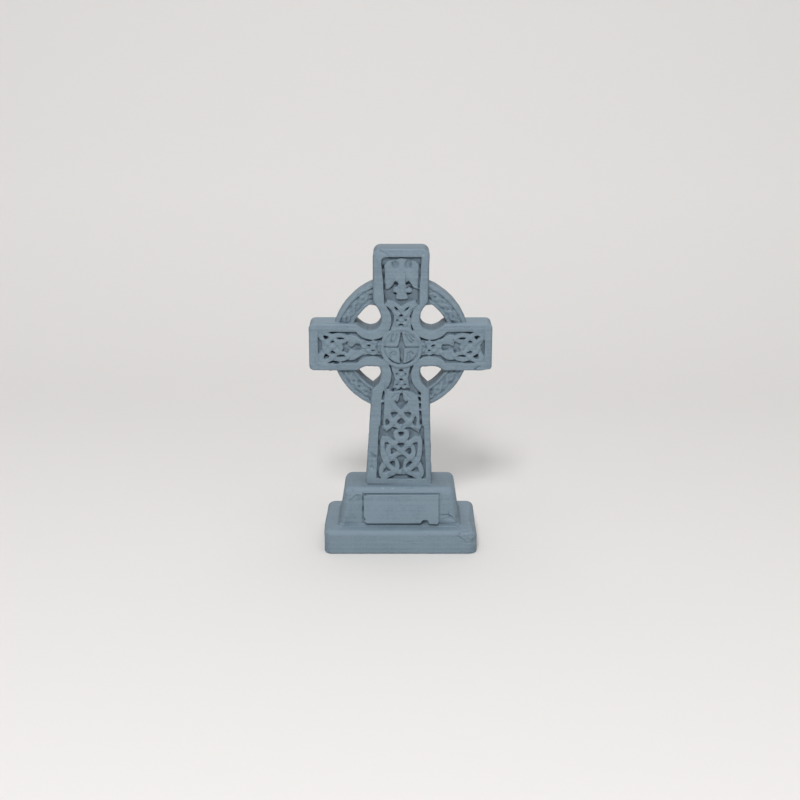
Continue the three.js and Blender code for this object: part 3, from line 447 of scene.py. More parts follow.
# Gaps through the carving down to the panel's floor.
GAPS = [
    # upper knot: heart with its slit, triangles, diamond, slender gaps
    [(-1.2, 29.8), (-0.6, 29.5), (-0.35, 29.9), (-0.2, 30.5), (-0.05, 31.3), (0.35, 31.35),
     (0.45, 30.6), (0.6, 30.0), (0.9, 29.5), (1.5, 29.8), (1.2, 29.1), (0.6, 28.5), (0.1, 28.0),
     (-0.5, 28.6), (-1.0, 29.2)],
    [(-1.9, 27.4), (-0.5, 27.4), (-0.9, 26.8), (-1.4, 26.2), (-1.75, 26.7)],
    [(0.7, 27.4), (1.8, 27.4), (2.1, 27.1), (1.9, 26.5), (1.6, 26.2), (1.1, 26.7)],
    [(-0.7, 25.45), (-0.3, 26.0), (0.2, 26.3), (0.9, 25.5), (0.5, 25.0), (-0.3, 24.95)],
    [(-2.9, 24.7), (-3.0, 25.5), (-2.8, 26.1), (-2.5, 25.8), (-2.15, 25.35), (-2.4, 24.9)],
    [(2.9, 26.6), (3.15, 26.3), (3.1, 25.5), (2.95, 24.7), (2.7, 24.8), (2.35, 25.2),
     (2.6, 25.6)],
    # between the knots
    [(-1.85, 24.35), (-1.0, 24.25), (-0.55, 23.95), (-1.2, 23.75), (-1.5, 24.0)],
    [(0.7, 24.0), (1.2, 24.3), (2.0, 24.3), (2.6, 23.9), (3.6, 23.15), (3.2, 23.05),
     (2.2, 23.6), (1.6, 23.5), (1.4, 23.7)],
    # lower knot: loop, diamond, triangles, corners with their tails, keyhole, petals
    [(-0.4, 23.3), (0.1, 23.45), (0.7, 23.3), (0.5, 22.7), (0.1, 22.4), (-0.3, 22.8)],
    [(-0.7, 20.8), (-0.3, 21.1), (0.3, 21.15), (0.85, 20.8), (0.5, 20.4), (0.1, 20.05),
     (-0.3, 20.4)],
    [(-1.95, 19.8), (-1.6, 20.1), (-1.2, 19.9), (-0.7, 19.4), (-1.2, 19.1), (-1.8, 18.7),
     (-1.9, 19.3)],
    [(0.9, 19.45), (1.4, 19.9), (1.95, 20.1), (2.15, 19.6), (2.0, 18.9), (1.7, 18.65),
     (1.3, 19.0)],
    [(-3.1, 21.1), (-2.6, 21.2), (-2.25, 20.9), (-2.8, 20.6), (-2.9, 20.0), (-3.0, 19.3),
     (-3.15, 20.3)],
    [(2.4, 20.95), (2.9, 21.15), (3.4, 21.2), (3.35, 20.3), (3.25, 19.0), (2.95, 18.0),
     (3.05, 19.3), (2.9, 20.3)],
    [(-0.9, 18.0), (-0.4, 18.4), (0.3, 18.6), (0.8, 18.3), (1.25, 17.95), (0.7, 17.6),
     (0.5, 16.8), (0.35, 16.0), (0.15, 15.6), (-0.3, 15.6), (-0.1, 16.2), (-0.3, 17.0),
     (-0.5, 17.6)],
    [(-2.2, 17.0), (-1.7, 17.3), (-1.2, 17.35), (-1.1, 16.6), (-1.2, 16.0), (-1.7, 16.4)],
    [(1.2, 16.0), (1.2, 16.4), (1.5, 17.0), (1.9, 17.2), (2.4, 17.0), (1.9, 16.6),
     (1.5, 16.1)],
    [(-3.5, 14.95), (-3.3, 15.5), (-3.0, 15.95), (-2.8, 16.05), (-2.4, 15.6), (-2.0, 15.3),
     (-2.6, 15.1), (-3.1, 14.95)],
    [(2.1, 15.25), (2.6, 15.65), (3.1, 15.92), (3.45, 15.9), (3.58, 15.3), (3.5, 14.98),
     (2.8, 15.0)],
    [(-2.7, 13.6), (-1.6, 14.1), (-0.9, 14.5), (0.6, 14.4), (1.4, 14.5), (2.2, 14.1),
     (3.0, 13.7), (1.0, 13.55), (-1.0, 13.55)],
    # upper neck
    [(-1.1, 48.65), (-0.75, 48.5), (-0.45, 48.05), (-0.8, 47.95), (-1.1, 48.2)],
    [(1.7, 48.6), (1.2, 48.45), (0.8, 47.95), (1.2, 47.95), (1.45, 48.25)],
    [(-0.25, 46.95), (0.1, 47.15), (0.5, 47.0), (0.3, 46.75), (0.0, 46.7)],
    [(-0.95, 46.0), (-0.6, 46.12), (-0.4, 45.98), (-0.7, 45.9)],
    [(0.75, 46.05), (1.1, 46.15), (1.25, 46.0), (0.95, 45.92)],
    [(-0.6, 45.05), (0.1, 45.27), (0.75, 45.05), (0.1, 44.9)],
    # lower neck and the gap over the arch
    [(-0.5, 36.0), (0.1, 36.1), (0.6, 36.0), (0.1, 35.75)],
    [(-1.0, 35.25), (-0.7, 35.35), (-0.5, 35.2), (-0.8, 35.1)],
    [(0.8, 35.3), (1.1, 35.4), (1.2, 35.2), (0.9, 35.15)],
    [(-0.25, 34.2), (0.1, 34.3), (0.5, 34.2), (0.3, 33.95), (0.0, 33.9)],
    [(-0.95, 33.1), (-0.65, 33.2), (-0.5, 33.05), (-0.8, 32.95)],
    [(0.7, 33.1), (1.0, 33.2), (1.15, 33.05), (0.85, 32.95)],
    [(-0.9, 31.85), (-0.3, 32.1), (0.2, 32.35), (0.9, 32.2), (1.8, 32.0), (1.85, 31.65),
     (1.0, 31.9), (0.2, 32.0), (-0.4, 31.9)],
    [(-1.65, 31.8), (-1.45, 32.1), (-1.25, 31.85), (-1.5, 31.6)],
    # necks of the arms
    [(-6.5, 41.0), (-6.2, 41.2), (-5.9, 41.05), (-6.0, 40.75), (-6.3, 40.75)],
    [(-5.75, 39.95), (-5.4, 40.1), (-5.0, 39.95), (-5.4, 39.8)],
    [(6.0, 40.7), (6.2, 41.1), (6.6, 41.2), (6.75, 41.0), (6.3, 40.7)],
    [(5.3, 39.9), (5.6, 40.1), (5.95, 40.0), (5.6, 39.8)],
    # left arm's knot
    [(-13.95, 43.55), (-13.3, 43.68), (-12.35, 43.55), (-12.9, 43.35), (-13.5, 43.3)],
    [(-14.2, 37.45), (-13.6, 37.78), (-12.6, 37.78), (-11.95, 37.45), (-13.0, 37.4)],
    [(-15.05, 42.75), (-14.1, 42.75), (-14.4, 42.4), (-14.7, 42.1), (-14.9, 42.4)],
    [(-15.0, 38.45), (-14.85, 39.0), (-14.55, 39.35), (-14.1, 38.95), (-14.0, 38.7),
     (-14.5, 38.6)],
    [(-13.65, 41.7), (-13.2, 41.92), (-12.9, 41.7), (-13.2, 41.58)],
    [(-13.7, 39.75), (-12.8, 39.7), (-12.9, 39.45), (-13.15, 39.33)],
    [(-12.25, 42.42), (-11.9, 42.12), (-11.3, 42.15), (-10.95, 42.4), (-11.7, 42.38)],
    [(-12.2, 39.0), (-11.9, 38.7), (-10.85, 38.7), (-11.1, 39.0), (-11.6, 39.1)],
    [(-11.3, 41.1), (-10.7, 41.45), (-10.25, 41.6), (-10.45, 41.1), (-10.1, 40.75),
     (-9.7, 40.55), (-9.15, 40.65), (-9.05, 41.1), (-8.7, 41.35), (-8.0, 41.3), (-7.65, 40.8),
     (-7.8, 40.3), (-8.5, 40.0), (-9.1, 40.2), (-9.7, 40.28), (-10.3, 40.4), (-10.2, 39.8),
     (-10.8, 40.1), (-11.3, 40.0), (-11.0, 40.6)],
    # right arm's knot
    [(12.3, 43.6), (13.3, 43.72), (14.3, 43.6), (13.6, 43.35), (12.9, 43.35)],
    [(12.0, 37.5), (12.9, 37.8), (13.7, 37.85), (14.6, 37.5), (13.3, 37.4)],
    [(15.6, 42.75), (14.5, 42.6), (14.8, 42.1), (15.1, 42.35)],
    [(14.2, 38.7), (14.8, 39.2), (15.2, 39.2), (15.2, 38.6), (14.8, 38.45)],
    [(13.1, 41.68), (13.55, 41.9), (13.9, 41.75), (13.5, 41.58)],
    [(12.9, 39.7), (13.9, 39.75), (13.5, 39.38), (13.2, 39.42)],
    [(11.2, 42.4), (11.7, 42.12), (12.2, 42.12), (12.6, 42.35), (12.0, 42.35)],
    [(11.0, 38.75), (11.5, 39.0), (12.4, 39.1), (12.3, 38.75)],
    [(10.45, 41.5), (10.9, 41.4), (11.6, 41.1), (11.2, 40.9), (11.2, 40.5), (11.7, 40.1),
     (11.1, 40.15), (10.7, 39.6), (10.4, 39.7), (10.5, 40.2), (9.9, 40.35), (9.0, 40.0),
     (8.3, 40.05), (8.05, 40.6), (8.2, 41.1), (9.1, 41.2), (9.7, 40.85), (10.2, 40.65),
     (10.55, 41.0)],
    # between the border and the upper knot
    [(-3.9, 24.5), (-3.8, 26.5), (-3.7, 28.5), (-3.6, 29.3), (-3.25, 29.5), (-3.3, 28.5),
     (-3.4, 26.5), (-3.5, 25.0), (-3.55, 24.4)],
    [(-3.65, 30.35), (-3.5, 31.6), (-3.25, 31.9), (-3.15, 31.0), (-3.3, 30.35)],
    [(4.0, 31.3), (3.6, 31.7), (3.55, 31.0), (3.95, 30.85)],
    [(3.5, 30.5), (3.98, 30.45), (4.0, 29.75), (3.6, 29.8)],
    [(3.65, 29.35), (4.02, 29.2), (4.06, 28.15), (3.7, 28.2)],
    [(3.72, 27.75), (4.08, 27.6), (4.15, 26.5), (4.3, 24.9), (3.85, 24.9), (3.78, 26.5)],
    # beside the bird
    [(-3.65, 56.8), (-3.4, 54.0), (-3.28, 52.2), (-2.95, 52.25), (-3.02, 54.0), (-3.2, 56.8)],
    [(3.9, 57.0), (3.82, 54.5), (3.64, 52.2), (3.35, 52.25), (3.45, 54.5), (3.58, 56.8)],
    # under the bird's wings, by its claws and at its sides
    [(-1.3, 53.3), (-1.0, 53.62), (-0.6, 53.5), (-0.45, 53.1), (-0.65, 52.65), (-0.9, 52.75),
     (-1.2, 53.0)],
    [(0.95, 53.25), (1.2, 53.5), (1.6, 53.8), (1.85, 53.3), (1.7, 52.98), (1.2, 52.9)],
    [(1.1, 51.4), (2.1, 51.4), (1.9, 51.1), (1.5, 50.9), (1.2, 51.0)],
    [(1.05, 52.45), (1.5, 52.45), (1.45, 52.35), (1.1, 52.35)],
    [(-1.4, 51.4), (-1.0, 51.5), (-0.7, 51.2), (-0.9, 51.0), (-1.2, 51.05)],
    [(-3.6, 56.5), (-3.3, 56.6), (-3.2, 56.0), (-3.5, 55.9)],
]


def finished(bm, name):
    """Turn a bmesh into a mesh whose faces point outwards."""
    bmesh.ops.remove_doubles(bm, verts=bm.verts, dist=1e-4)
    bmesh.ops.recalc_face_normals(bm, faces=bm.faces)
    mesh = bpy.data.meshes.new(name)
    bm.to_mesh(mesh)
    bm.free()
    return mesh


def arc(centre_x, centre_z, radius, start, end, steps=12):
    """Points on a round stretch, from one angle in degrees to another."""
    turn = [math.radians(start + (end - start) * i / steps) for i in range(steps + 1)]
    return [(centre_x + radius * math.cos(a), centre_z + radius * math.sin(a)) for a in turn]


def bevelled(bm, edges, offset, segments, clamp=False):
    """Round edges of a bmesh."""
    bmesh.ops.bevel(bm, geom=edges, offset=offset, offset_type="OFFSET", segments=segments,
                    profile=0.5, affect="EDGES", material=-1, clamp_overlap=clamp)


def prism(outline, front, back, edge=0.0, both=False):
    """A front-view outline pushed back in depth, its front rim rounded by edge."""
    bm = bmesh.new()
    face = bm.faces.new([bm.verts.new((x, front, z)) for x, z in outline])
    pushed = bmesh.ops.extrude_face_region(bm, geom=[face])["geom"]
    moved = [item for item in pushed if isinstance(item, bmesh.types.BMVert)]
    bmesh.ops.translate(bm, verts=moved, vec=(0, back - front, 0))
    bmesh.ops.recalc_face_normals(bm, faces=bm.faces)
    if edge > 0:
        levels = [front, back] if both else [front]
        rims = [e for e in bm.edges if any(
            all(abs(v.co.y - level) < 1e-5 for v in e.verts) for level in levels)]
        bevelled(bm, rims, edge, 3, clamp=True)
    return finished(bm, "prism")


def turned(centre_x, centre_z, profile, steps=96):
    """A closed [radius, depth] profile spun about a line from front to back."""
    bm = bmesh.new()
    verts = [bm.verts.new((centre_x + radius, y, centre_z)) for radius, y in profile]
    edges = [bm.edges.new(pair) for pair in zip(verts, verts[1:] + verts[:1])]
    bmesh.ops.spin(bm, geom=verts + edges, cent=(centre_x, 0, centre_z), axis=(0, 1, 0),
                   angle=2 * math.pi, steps=steps, use_merge=True, use_duplicate=False)
    return finished(bm, "turned")


def block(foot, top, corner, edge, foot_z, top_z, foot_edge=0.0):
    """A step of the base: rounded upright corners, soft top edge, even taper."""
    bm = bmesh.new()
    bmesh.ops.create_cube(bm, size=1)
    bmesh.ops.scale(bm, verts=bm.verts, vec=(top[0], top[1], top_z - foot_z))
    bmesh.ops.translate(bm, verts=bm.verts, vec=(0, 0, (foot_z + top_z) / 2))
    upright = [e for e in bm.edges if abs(e.verts[0].co.z - e.verts[1].co.z) > 1e-3]
    bevelled(bm, upright, corner, 6)
    for level, offset, segments in ((top_z, edge, 5), (foot_z, foot_edge, 3)):
        if offset > 0:
            rim = [e for e in bm.edges if all(abs(v.co.z - level) < 1e-4 for v in e.verts)]
            bevelled(bm, rim, offset, segments)
    for vert in bm.verts:
        down = (top_z - vert.co.z) / (top_z - foot_z)
        vert.co.x *= 1 + (foot[0] / top[0] - 1) * down
        vert.co.y *= 1 + (foot[1] / top[1] - 1) * down
    return finished(bm, "block")


def ball(centre, radii):
    """A squashed ball of plastic."""
    bm = bmesh.new()
    bmesh.ops.create_icosphere(bm, subdivisions=3, radius=1)
    bmesh.ops.scale(bm, verts=bm.verts, vec=radii)
    bmesh.ops.translate(bm, verts=bm.verts, vec=centre)
    return finished(bm, "ball")


def as_object(mesh):
    """Put a mesh in the scene."""
    piece = bpy.data.objects.new(mesh.name, mesh)
    bpy.context.scene.collection.objects.link(piece)
    return piece


def applied(piece):
    """The mesh that a piece's modifiers give; the piece itself is deleted."""
    graph = bpy.context.evaluated_depsgraph_get()
    mesh = bpy.data.meshes.new_from_object(piece.evaluated_get(graph))
    bpy.data.objects.remove(piece)
    return mesh


def cut(mesh, cutters):
    """Take each cutter out of a mesh."""
    piece = as_object(mesh)
    tools = [as_object(cutter) for cutter in cutters]
    for tool in tools:
        modifier = piece.modifiers.new("cut", "BOOLEAN")
        modifier.operation = "DIFFERENCE"
        modifier.solver = "EXACT"
        modifier.object = tool
    result = applied(piece)
    for tool in tools:
        bpy.data.objects.remove(tool)
    return result


def half_width(z):
    """Half the width of the shaft or the top limb at a height."""
    if z > CARVING_Z:
        up = (z - CARVING_Z) / (HEIGHT - CARVING_Z)
        return (LIMB_NECK + (LIMB_TOP - LIMB_NECK) * up) / 2
    down = (CARVING_Z - z) / (CARVING_Z - PLINTH_TOP_Z)
    return (SHAFT_NECK + (SHAFT_FOOT - SHAFT_NECK) * down) / 2


# Outlines of the upper and the lower hollows, from the arm's edge to the limb's, in shares of
# the hollow's radius: [away from the shaft, away from the arms] from its centre.
UPPER_HOLLOW = [
    (1.39, -0.34), (0.8, -0.78), (0.17, -1.0), (-0.49, -0.83), (-0.88, -0.34), (-0.94, 0.29),
    (-0.71, 1.02), (-0.2, 1.76),
]
LOWER_HOLLOW = [
    (1.34, -0.5), (0.61, -0.82), (-0.37, -0.84), (-0.78, -0.78), (-0.92, -0.4), (-0.9, 0.24),
    (-0.68, 0.8), (-0.1, 1.45),
]


def hollow(side, up):
    """One hollow's outline; its first and last points lie on the arm's and the limb's edge."""
    centre = CARVING_Z + up * HOLLOW_UP
    points = [(side * (HOLLOW_ACROSS + HOLLOW_RADIUS * away), centre + up * HOLLOW_RADIUS * rise)
              for away, rise in (UPPER_HOLLOW if up > 0 else LOWER_HOLLOW)]
    points[0] = (points[0][0], ARM_TOP if up > 0 else ARM_FOOT)
    points[-1] = (side * half_width(points[-1][1]), points[-1][1])
    return [tuple(p) for p in smooth_route(points, 0.3)]


def cross_outline():
    """Front view of the cross, from the shaft's foot round."""
    foot = PLINTH_TOP_Z - OVERLAP
    tip = SPAN / 2 - ARM_CORNER
    top = HEIGHT - LIMB_CORNER
    limb = LIMB_TOP / 2 - LIMB_CORNER
    points = [(SHAFT_FOOT_X + half_width(foot), foot), (SHAFT_FOOT_X - half_width(foot), foot)]
    points += hollow(-1, -1)[::-1]
    points += arc(-tip, ARM_FOOT + ARM_CORNER, ARM_CORNER, 270, 180, 8)
    points += arc(-tip, ARM_TOP - ARM_CORNER, ARM_CORNER, 180, 90, 8)
    points += hollow(-1, 1)
    points += arc(CARVING_X - limb, top, LIMB_CORNER, 180, 90, 8)
    points += arc(CARVING_X + limb, top, LIMB_CORNER, 90, 0, 8)
    points += hollow(1, 1)[::-1]
    points += arc(tip, ARM_TOP - ARM_CORNER, ARM_CORNER, 90, 0, 8)
    points += arc(tip, ARM_FOOT + ARM_CORNER, ARM_CORNER, 0, -90, 8)
    points += hollow(1, -1)
    return points


def panel_outline(border):
    """One outline of all the sunk panels: the cross drawn in, narrowed at the hollows."""
    reach = HOLLOW_RADIUS + BORDER_AT_HOLLOWS

    def wide(z):
        return half_width(z) - border

    def neck(side, up):
        x = side * HOLLOW_ACROSS
        z = CARVING_Z + up * HOLLOW_UP
        panel_x = side * wide(z + up * reach)
        panel_z = (ARM_TOP - border) if up > 0 else (ARM_FOOT + border)
        at_limb = math.degrees(math.acos((panel_x - x) / reach)) * up
        at_arm = math.degrees(math.asin((panel_z - z) / reach))
        arm_angle = at_arm if side > 0 else 180 - at_arm
        start, end = (arm_angle, at_limb) if side * up < 0 else (at_limb, arm_angle)
        end = start + (end - start) % 360
        return arc(x, z, reach, start, end, 28)

    tip = SPAN / 2 - border
    top = LIMB_TOP / 2 - border
    points = [(wide(PANEL_FOOT), PANEL_FOOT), (-wide(PANEL_FOOT), PANEL_FOOT)]
    points += neck(-1, -1)
    points += [(-tip, ARM_FOOT + border), (-tip, ARM_TOP - border)]
    points += neck(-1, 1)
    points += arc(-top + PANEL_CORNER, HEIGHT - border - PANEL_CORNER, PANEL_CORNER, 180, 90, 6)
    points += [(top, HEIGHT - border)]
    points += neck(1, 1)
    points += [(tip, ARM_TOP - border), (tip, ARM_FOOT + border)]
    points += neck(1, -1)
    return [(x + CARVING_X, z) for x, z in points]


def smooth_route(points, spacing=ROUTE_STEP):
    """Evenly spaced points on one smooth curve through a route."""
    knots = [Vector(p) for p in points]
    knots = [2 * knots[0] - knots[1]] + knots + [2 * knots[-1] - knots[-2]]
    curve = []
    for a, b, c, d in zip(knots, knots[1:], knots[2:], knots[3:]):
        steps = max(2, round((c - b).length / spacing))
        for i in range(steps):
            t = i / steps
            curve.append(0.5 * (2 * b + (c - a) * t + (2 * a - 5 * b + 4 * c - d) * t * t
                                + (3 * b - a - 3 * c + d) * t ** 3))
    curve.append(knots[-2])
    return np.array([tuple(p) for p in curve])


def crossings(routes):
    """For each route, the places where it meets another, as (position, over or under)."""
    found = [[] for _ in routes]
    for i, first in enumerate(routes):
        for j in range(i + 1, len(routes)):
            second = routes[j]
            if (first.max(0) < second.min(0)).any() or (second.max(0) < first.min(0)).any():
                continue
            p = first[:-1, None]
            r = first[1:, None] - p
            q = second[None, :-1]
            s = second[None, 1:] - q
            across = r[..., 0] * s[..., 1] - r[..., 1] * s[..., 0]
            across = np.where(abs(across) < 1e-9, 1e-9, across)
            gap = q - p
            t = (gap[..., 0] * s[..., 1] - gap[..., 1] * s[..., 0]) / across
            u = (gap[..., 0] * r[..., 1] - gap[..., 1] * r[..., 0]) / across
            for a, b in np.argwhere((t >= 0) & (t < 1) & (u >= 0) & (u < 1)):
                key = (i, j, int(a), int(b))
                found[i].append((a + t[a, b], key))
                found[j].append((b + u[a, b], key))
    over = {}
    result = []
    for index, meets in enumerate(found):
        meets.sort()
        side = 1
        heights = []
        for place, key in meets:
            if key in over:
                side = -over[key]
            else:
                over[key] = side
            heights.append((place, side))
            side = -side
        result.append(heights)
    return result


# Half of a strand's section: [share of the half width, share of the height].
STRAND_SECTION = [(1.0, 0.8), (0.97, 0.92), (0.86, 0.985), (0.5, 1.0)]


def strand(route, width, floor, heights, sink=0.3):
    """One carved strand, pushed along its route with a rounded top of varying height."""
    section = [(1.0, None)] + STRAND_SECTION
    section += [(-share, rise) for share, rise in reversed(STRAND_SECTION)] + [(-1.0, None)]
    ahead = np.gradient(route, axis=0)
    ahead /= np.linalg.norm(ahead, axis=1)[:, None]
    bm = bmesh.new()
    side_x = ahead[:, 1] * width / 2
    side_z = -ahead[:, 0] * width / 2

    def ring_at(i):
        for share, rise in section:
            depth = floor + sink if rise is None else floor - heights[i] * rise
            yield (route[i, 0] + side_x[i] * share, depth, route[i, 1] + side_z[i] * share)

    face = bm.faces.new([bm.verts.new(place) for place in ring_at(0)])
    for i in range(1, len(route)):
        grown = bmesh.ops.extrude_discrete_faces(bm, faces=[face])["faces"][0]
        for vert, place in zip(grown.verts, ring_at(i)):
            vert.co = place
        face = grown
    bmesh.ops.holes_fill(bm, edges=[e for e in bm.edges if e.is_boundary], sides=0)
    return finished(bm, "strand")


def laid(routes, widths, floor, height, weave):
    """Strands woven over and under each other on one floor."""
    curves = [smooth_route(route) for route in routes]
    meshes = []
    for curve, width, meets in zip(curves, widths, crossings(curves)):
        place = np.arange(len(curve))
        spread = width * 0.55 / ROUTE_STEP
        lift = np.zeros(len(curve))
        for at, side in meets:
            lift += side * np.exp(-((place - at) / spread) ** 2)
        heights = height + weave * np.clip(lift, -1, 1)
        meshes.append(strand(curve, width, floor, heights))
    return meshes


def plait_routes(end):
    """The four zigzag strands of a neck, [across, out from the carving's centre]."""
    routes = []
    count = round((end - PLAIT_START) / (PLAIT_SPACING / PLAIT_PARTS))
    for k in range(PLAIT_STRANDS):
        points = []
        for i in range(count + 1):
            out = PLAIT_START + i * PLAIT_SPACING / PLAIT_PARTS
            share = (out - PLAIT_START - PLAIT_PHASE) / (PLAIT_STRANDS * PLAIT_SPACING)
            turn = (share + k / PLAIT_STRANDS) * 2 * math.pi
            swing = math.asin(PLAIT_BEND * math.sin(turn)) / math.asin(PLAIT_BEND)
            points.append((PLAIT_REACH * swing, out))
        routes.append(points)
    return routes


def knotwork(sizes):
    """All the strands in the front's panels."""
    routes = []
    widths = []
    for route in SHAFT_ROUTES:
        for side in (1, -1):
            routes.append([(side * x + CARVING_X, z) for x, z in route])
            widths.append(sizes.strand_width / MM)
    fine = sizes.fine_strand_width / MM
    for side in (-1, 1):
        for up in (-1, 1):
            for route in ARM_ROUTES:
                routes.append([(side * out + CARVING_X, up * rise + ARM_Z) for out, rise in route])
                widths.append(fine)
        for route in plait_routes(PLAIT_END - PLAIT_SPACING / 2):
            routes.append([(side * out + CARVING_X, across + CARVING_Z) for across, out in route])
            widths.append(PLAIT_WIDTH)
        for route in plait_routes(PLAIT_END):
            routes.append([(across + CARVING_X, side * out + CARVING_Z) for across, out in route])
            widths.append(PLAIT_WIDTH)
        for route in FORK_ROUTES:
            routes.append([(side * across + CARVING_X, z) for across, z in route])
            widths.append(fine)
    depth = sizes.panel_depth / MM
    return laid(routes, widths, FRONT + depth, depth - STRAND_SINK, sizes.weave / MM)


def stretched(mesh):
    """The ring is a little wider than high."""
    centre = Matrix.Translation((0, 0, RING_Z))
    mesh.transform(centre @ Matrix.Diagonal((RING_STRETCH, 1, 1, 1)) @ centre.inverted())
    return mesh


def ring_braid(weave):
    """The worn two-strand braid in the ring's band, one stretch in each quarter."""
    middle = (RING_OUTER - RING_OUTER_RIM + RING_INNER + RING_INNER_RIM) / 2
    swing = (RING_OUTER - RING_OUTER_RIM - RING_INNER - RING_INNER_RIM) / 4
    routes = []
    for quarter in range(4):
        for phase in (0, 180):
            points = []
            for step in range(BRAID_STEPS + 1):
                angle = BRAID_START + step * BRAID_STEP
                radius = middle + swing * math.sin(math.radians(angle / BRAID_PERIOD * 360 + phase))
                turn = math.radians(angle + quarter * 90)
                points.append((radius * math.cos(turn), RING_Z + radius * math.sin(turn)))
            routes.append(points)
    floor = -RING_THICKNESS / 2 + RING_BAND_DEPTH
    widths = [BRAID_WIDTH] * len(routes)
    return [stretched(mesh) for mesh in laid(routes, widths, floor, RING_BAND_DEPTH * 0.75, weave)]


def ring():
    """The ring, with a sunk band between a broad outer rim and a thin inner one."""
    front = -RING_THICKNESS / 2
    back = RING_THICKNESS / 2
    band_out = RING_OUTER - RING_OUTER_RIM
    band_in = RING_INNER + RING_INNER_RIM
    soft = RING_SOFT
    profile = [(RING_INNER, front + soft / 2), (RING_INNER + soft / 2, front), (band_in, front),
               (band_in, front + RING_BAND_DEPTH), (band_out, front + RING_BAND_DEPTH),
               (band_out, front)]
    profile += [(RING_OUTER - soft + soft * math.sin(a), front + soft - soft * math.cos(a))
                for a in (0, 0.5, 1.05, 1.57)]
    profile += [(RING_OUTER - soft + soft * math.cos(a), back - soft + soft * math.sin(a))
                for a in (0, 0.5, 1.05, 1.57)]
    profile += [(RING_INNER + soft / 2, back), (RING_INNER, back - soft / 2)]
    return stretched(turned(0, RING_Z, profile, 160))


def ring_fillets():
    """Small fillets where the ring runs into the top limb's sides."""
    outline = [(4.6, 48.55), (5.15, 48.75), (5.75, 48.8), (6.4, 49.0), (6.4, 49.9), (4.6, 49.9)]
    half = RING_THICKNESS / 2 - 0.3
    mirror = [(-x, z) for x, z in outline[::-1]]
    return [prism(shape, -half, half) for shape in (outline, mirror)]


def on_boss(points):
    """Move points drawn from the boss's middle to its place."""
    return [(x + CARVING_X, z + CARVING_Z + PETALS_UP) for x, z in points]


def boss(depth):
    """The front boss: a round rim, four petals and a hollow star between them."""
    rim = FRONT - BOSS_PROUD
    floor = FRONT + BOSS_SINK
    inner = BOSS_RADIUS - BOSS_RIM
    seat = FRONT + depth + OVERLAP
    profile = [(0, floor), (inner, floor), (inner, rim + 0.25), (inner + 0.12, rim + 0.06),
               (inner + 0.3, rim), (BOSS_RADIUS - 0.3, rim), (BOSS_RADIUS - 0.1, rim + 0.08),
               (BOSS_RADIUS, rim + 0.3), (BOSS_RADIUS, seat), (0, seat)]
    meshes = [turned(CARVING_X, CARVING_Z, profile)]
    far = inner - 0.12
    for edge, start, end in PETALS:
        outline = on_boss(edge + arc(0, 0, far, start, end, 12))
        meshes.append(prism(outline, FRONT - BOSS_PROUD / 2, floor + OVERLAP, 0.14))
    return meshes


def back_boss(depth):
    """A plain disc with a rim marks the crossing on the back."""
    inner = BOSS_RADIUS - BOSS_RIM
    seat = BACK - depth - OVERLAP
    return turned(CARVING_X, CARVING_Z, [
        (0, seat), (BOSS_RADIUS, seat), (BOSS_RADIUS, BACK - 0.2), (BOSS_RADIUS - 0.2, BACK),
        (inner + 0.2, BACK), (inner, BACK - 0.2), (inner, BACK - BOSS_SINK), (0, BACK - BOSS_SINK)])


def bird(depth):
    """The spread bird."""
    return [prism(BIRD_OUTLINE[::-1], FRONT + STRAND_SINK, FRONT + depth + OVERLAP, 0.1)]


def webs(depth):
    """Plates just below the strands' tops and beside the border."""
    return [prism(outline, FRONT + sink, FRONT + depth + OVERLAP)
            for outlines, sink in ((WEBS, WEB_SINK), (BORDER_FILLS, BORDER_FILL_SINK))
            for outline in outlines]


def on_plinth(mesh, lean):
    """Stand a plate made at the origin against the plinth's front."""
    foot_y = -PLINTH_FOOT[1] / 2 + PLAQUE_FOOT * math.tan(PLINTH_LEAN)
    place = Matrix.Translation((CARVING_X, foot_y, SLAB_HEIGHT + PLAQUE_FOOT))
    mesh.transform(place @ Matrix.Rotation(-lean, 4, "X"))
    return mesh


def plaque_seat():
    """The shallow seat that leaves a groove all round the plaque."""
    half = PLAQUE_WIDTH / 2 + PLAQUE_GAP
    outline = [(-half, -PLAQUE_GAP), (half, -PLAQUE_GAP), (half, PLAQUE_HEIGHT + PLAQUE_GAP),
               (-half, PLAQUE_HEIGHT + PLAQUE_GAP)]
    return on_plinth(prism(outline, -1, PLAQUE_SEAT), PLINTH_LEAN)


def plaque():
    """The blank plaque, more upright than the plinth, chipped at its lower corners."""
    half = PLAQUE_WIDTH / 2
    outline = [(-half, 0.9), (-half + 0.25, 0.75), (-half + 0.1, 0.4), (-half + 0.55, 0.0),
               (3.85, 0.0), (4.05, 0.25), (4.2, 0.62), (4.7, 0.68), (5.3, 0.6), (5.45, 0.1),
               (5.5, -0.12), (7.2, -0.18), (half, 0.1), (half, PLAQUE_HEIGHT - 0.1),
               (half - 0.1, PLAQUE_HEIGHT), (-half + 0.5, PLAQUE_HEIGHT),
               (-half + 0.35, PLAQUE_HEIGHT - 0.25), (-half, PLAQUE_HEIGHT - 0.3)]
    return on_plinth(prism(outline, -PLAQUE_PROUD, 2 * OVERLAP, 0.14), PLAQUE_LEAN)


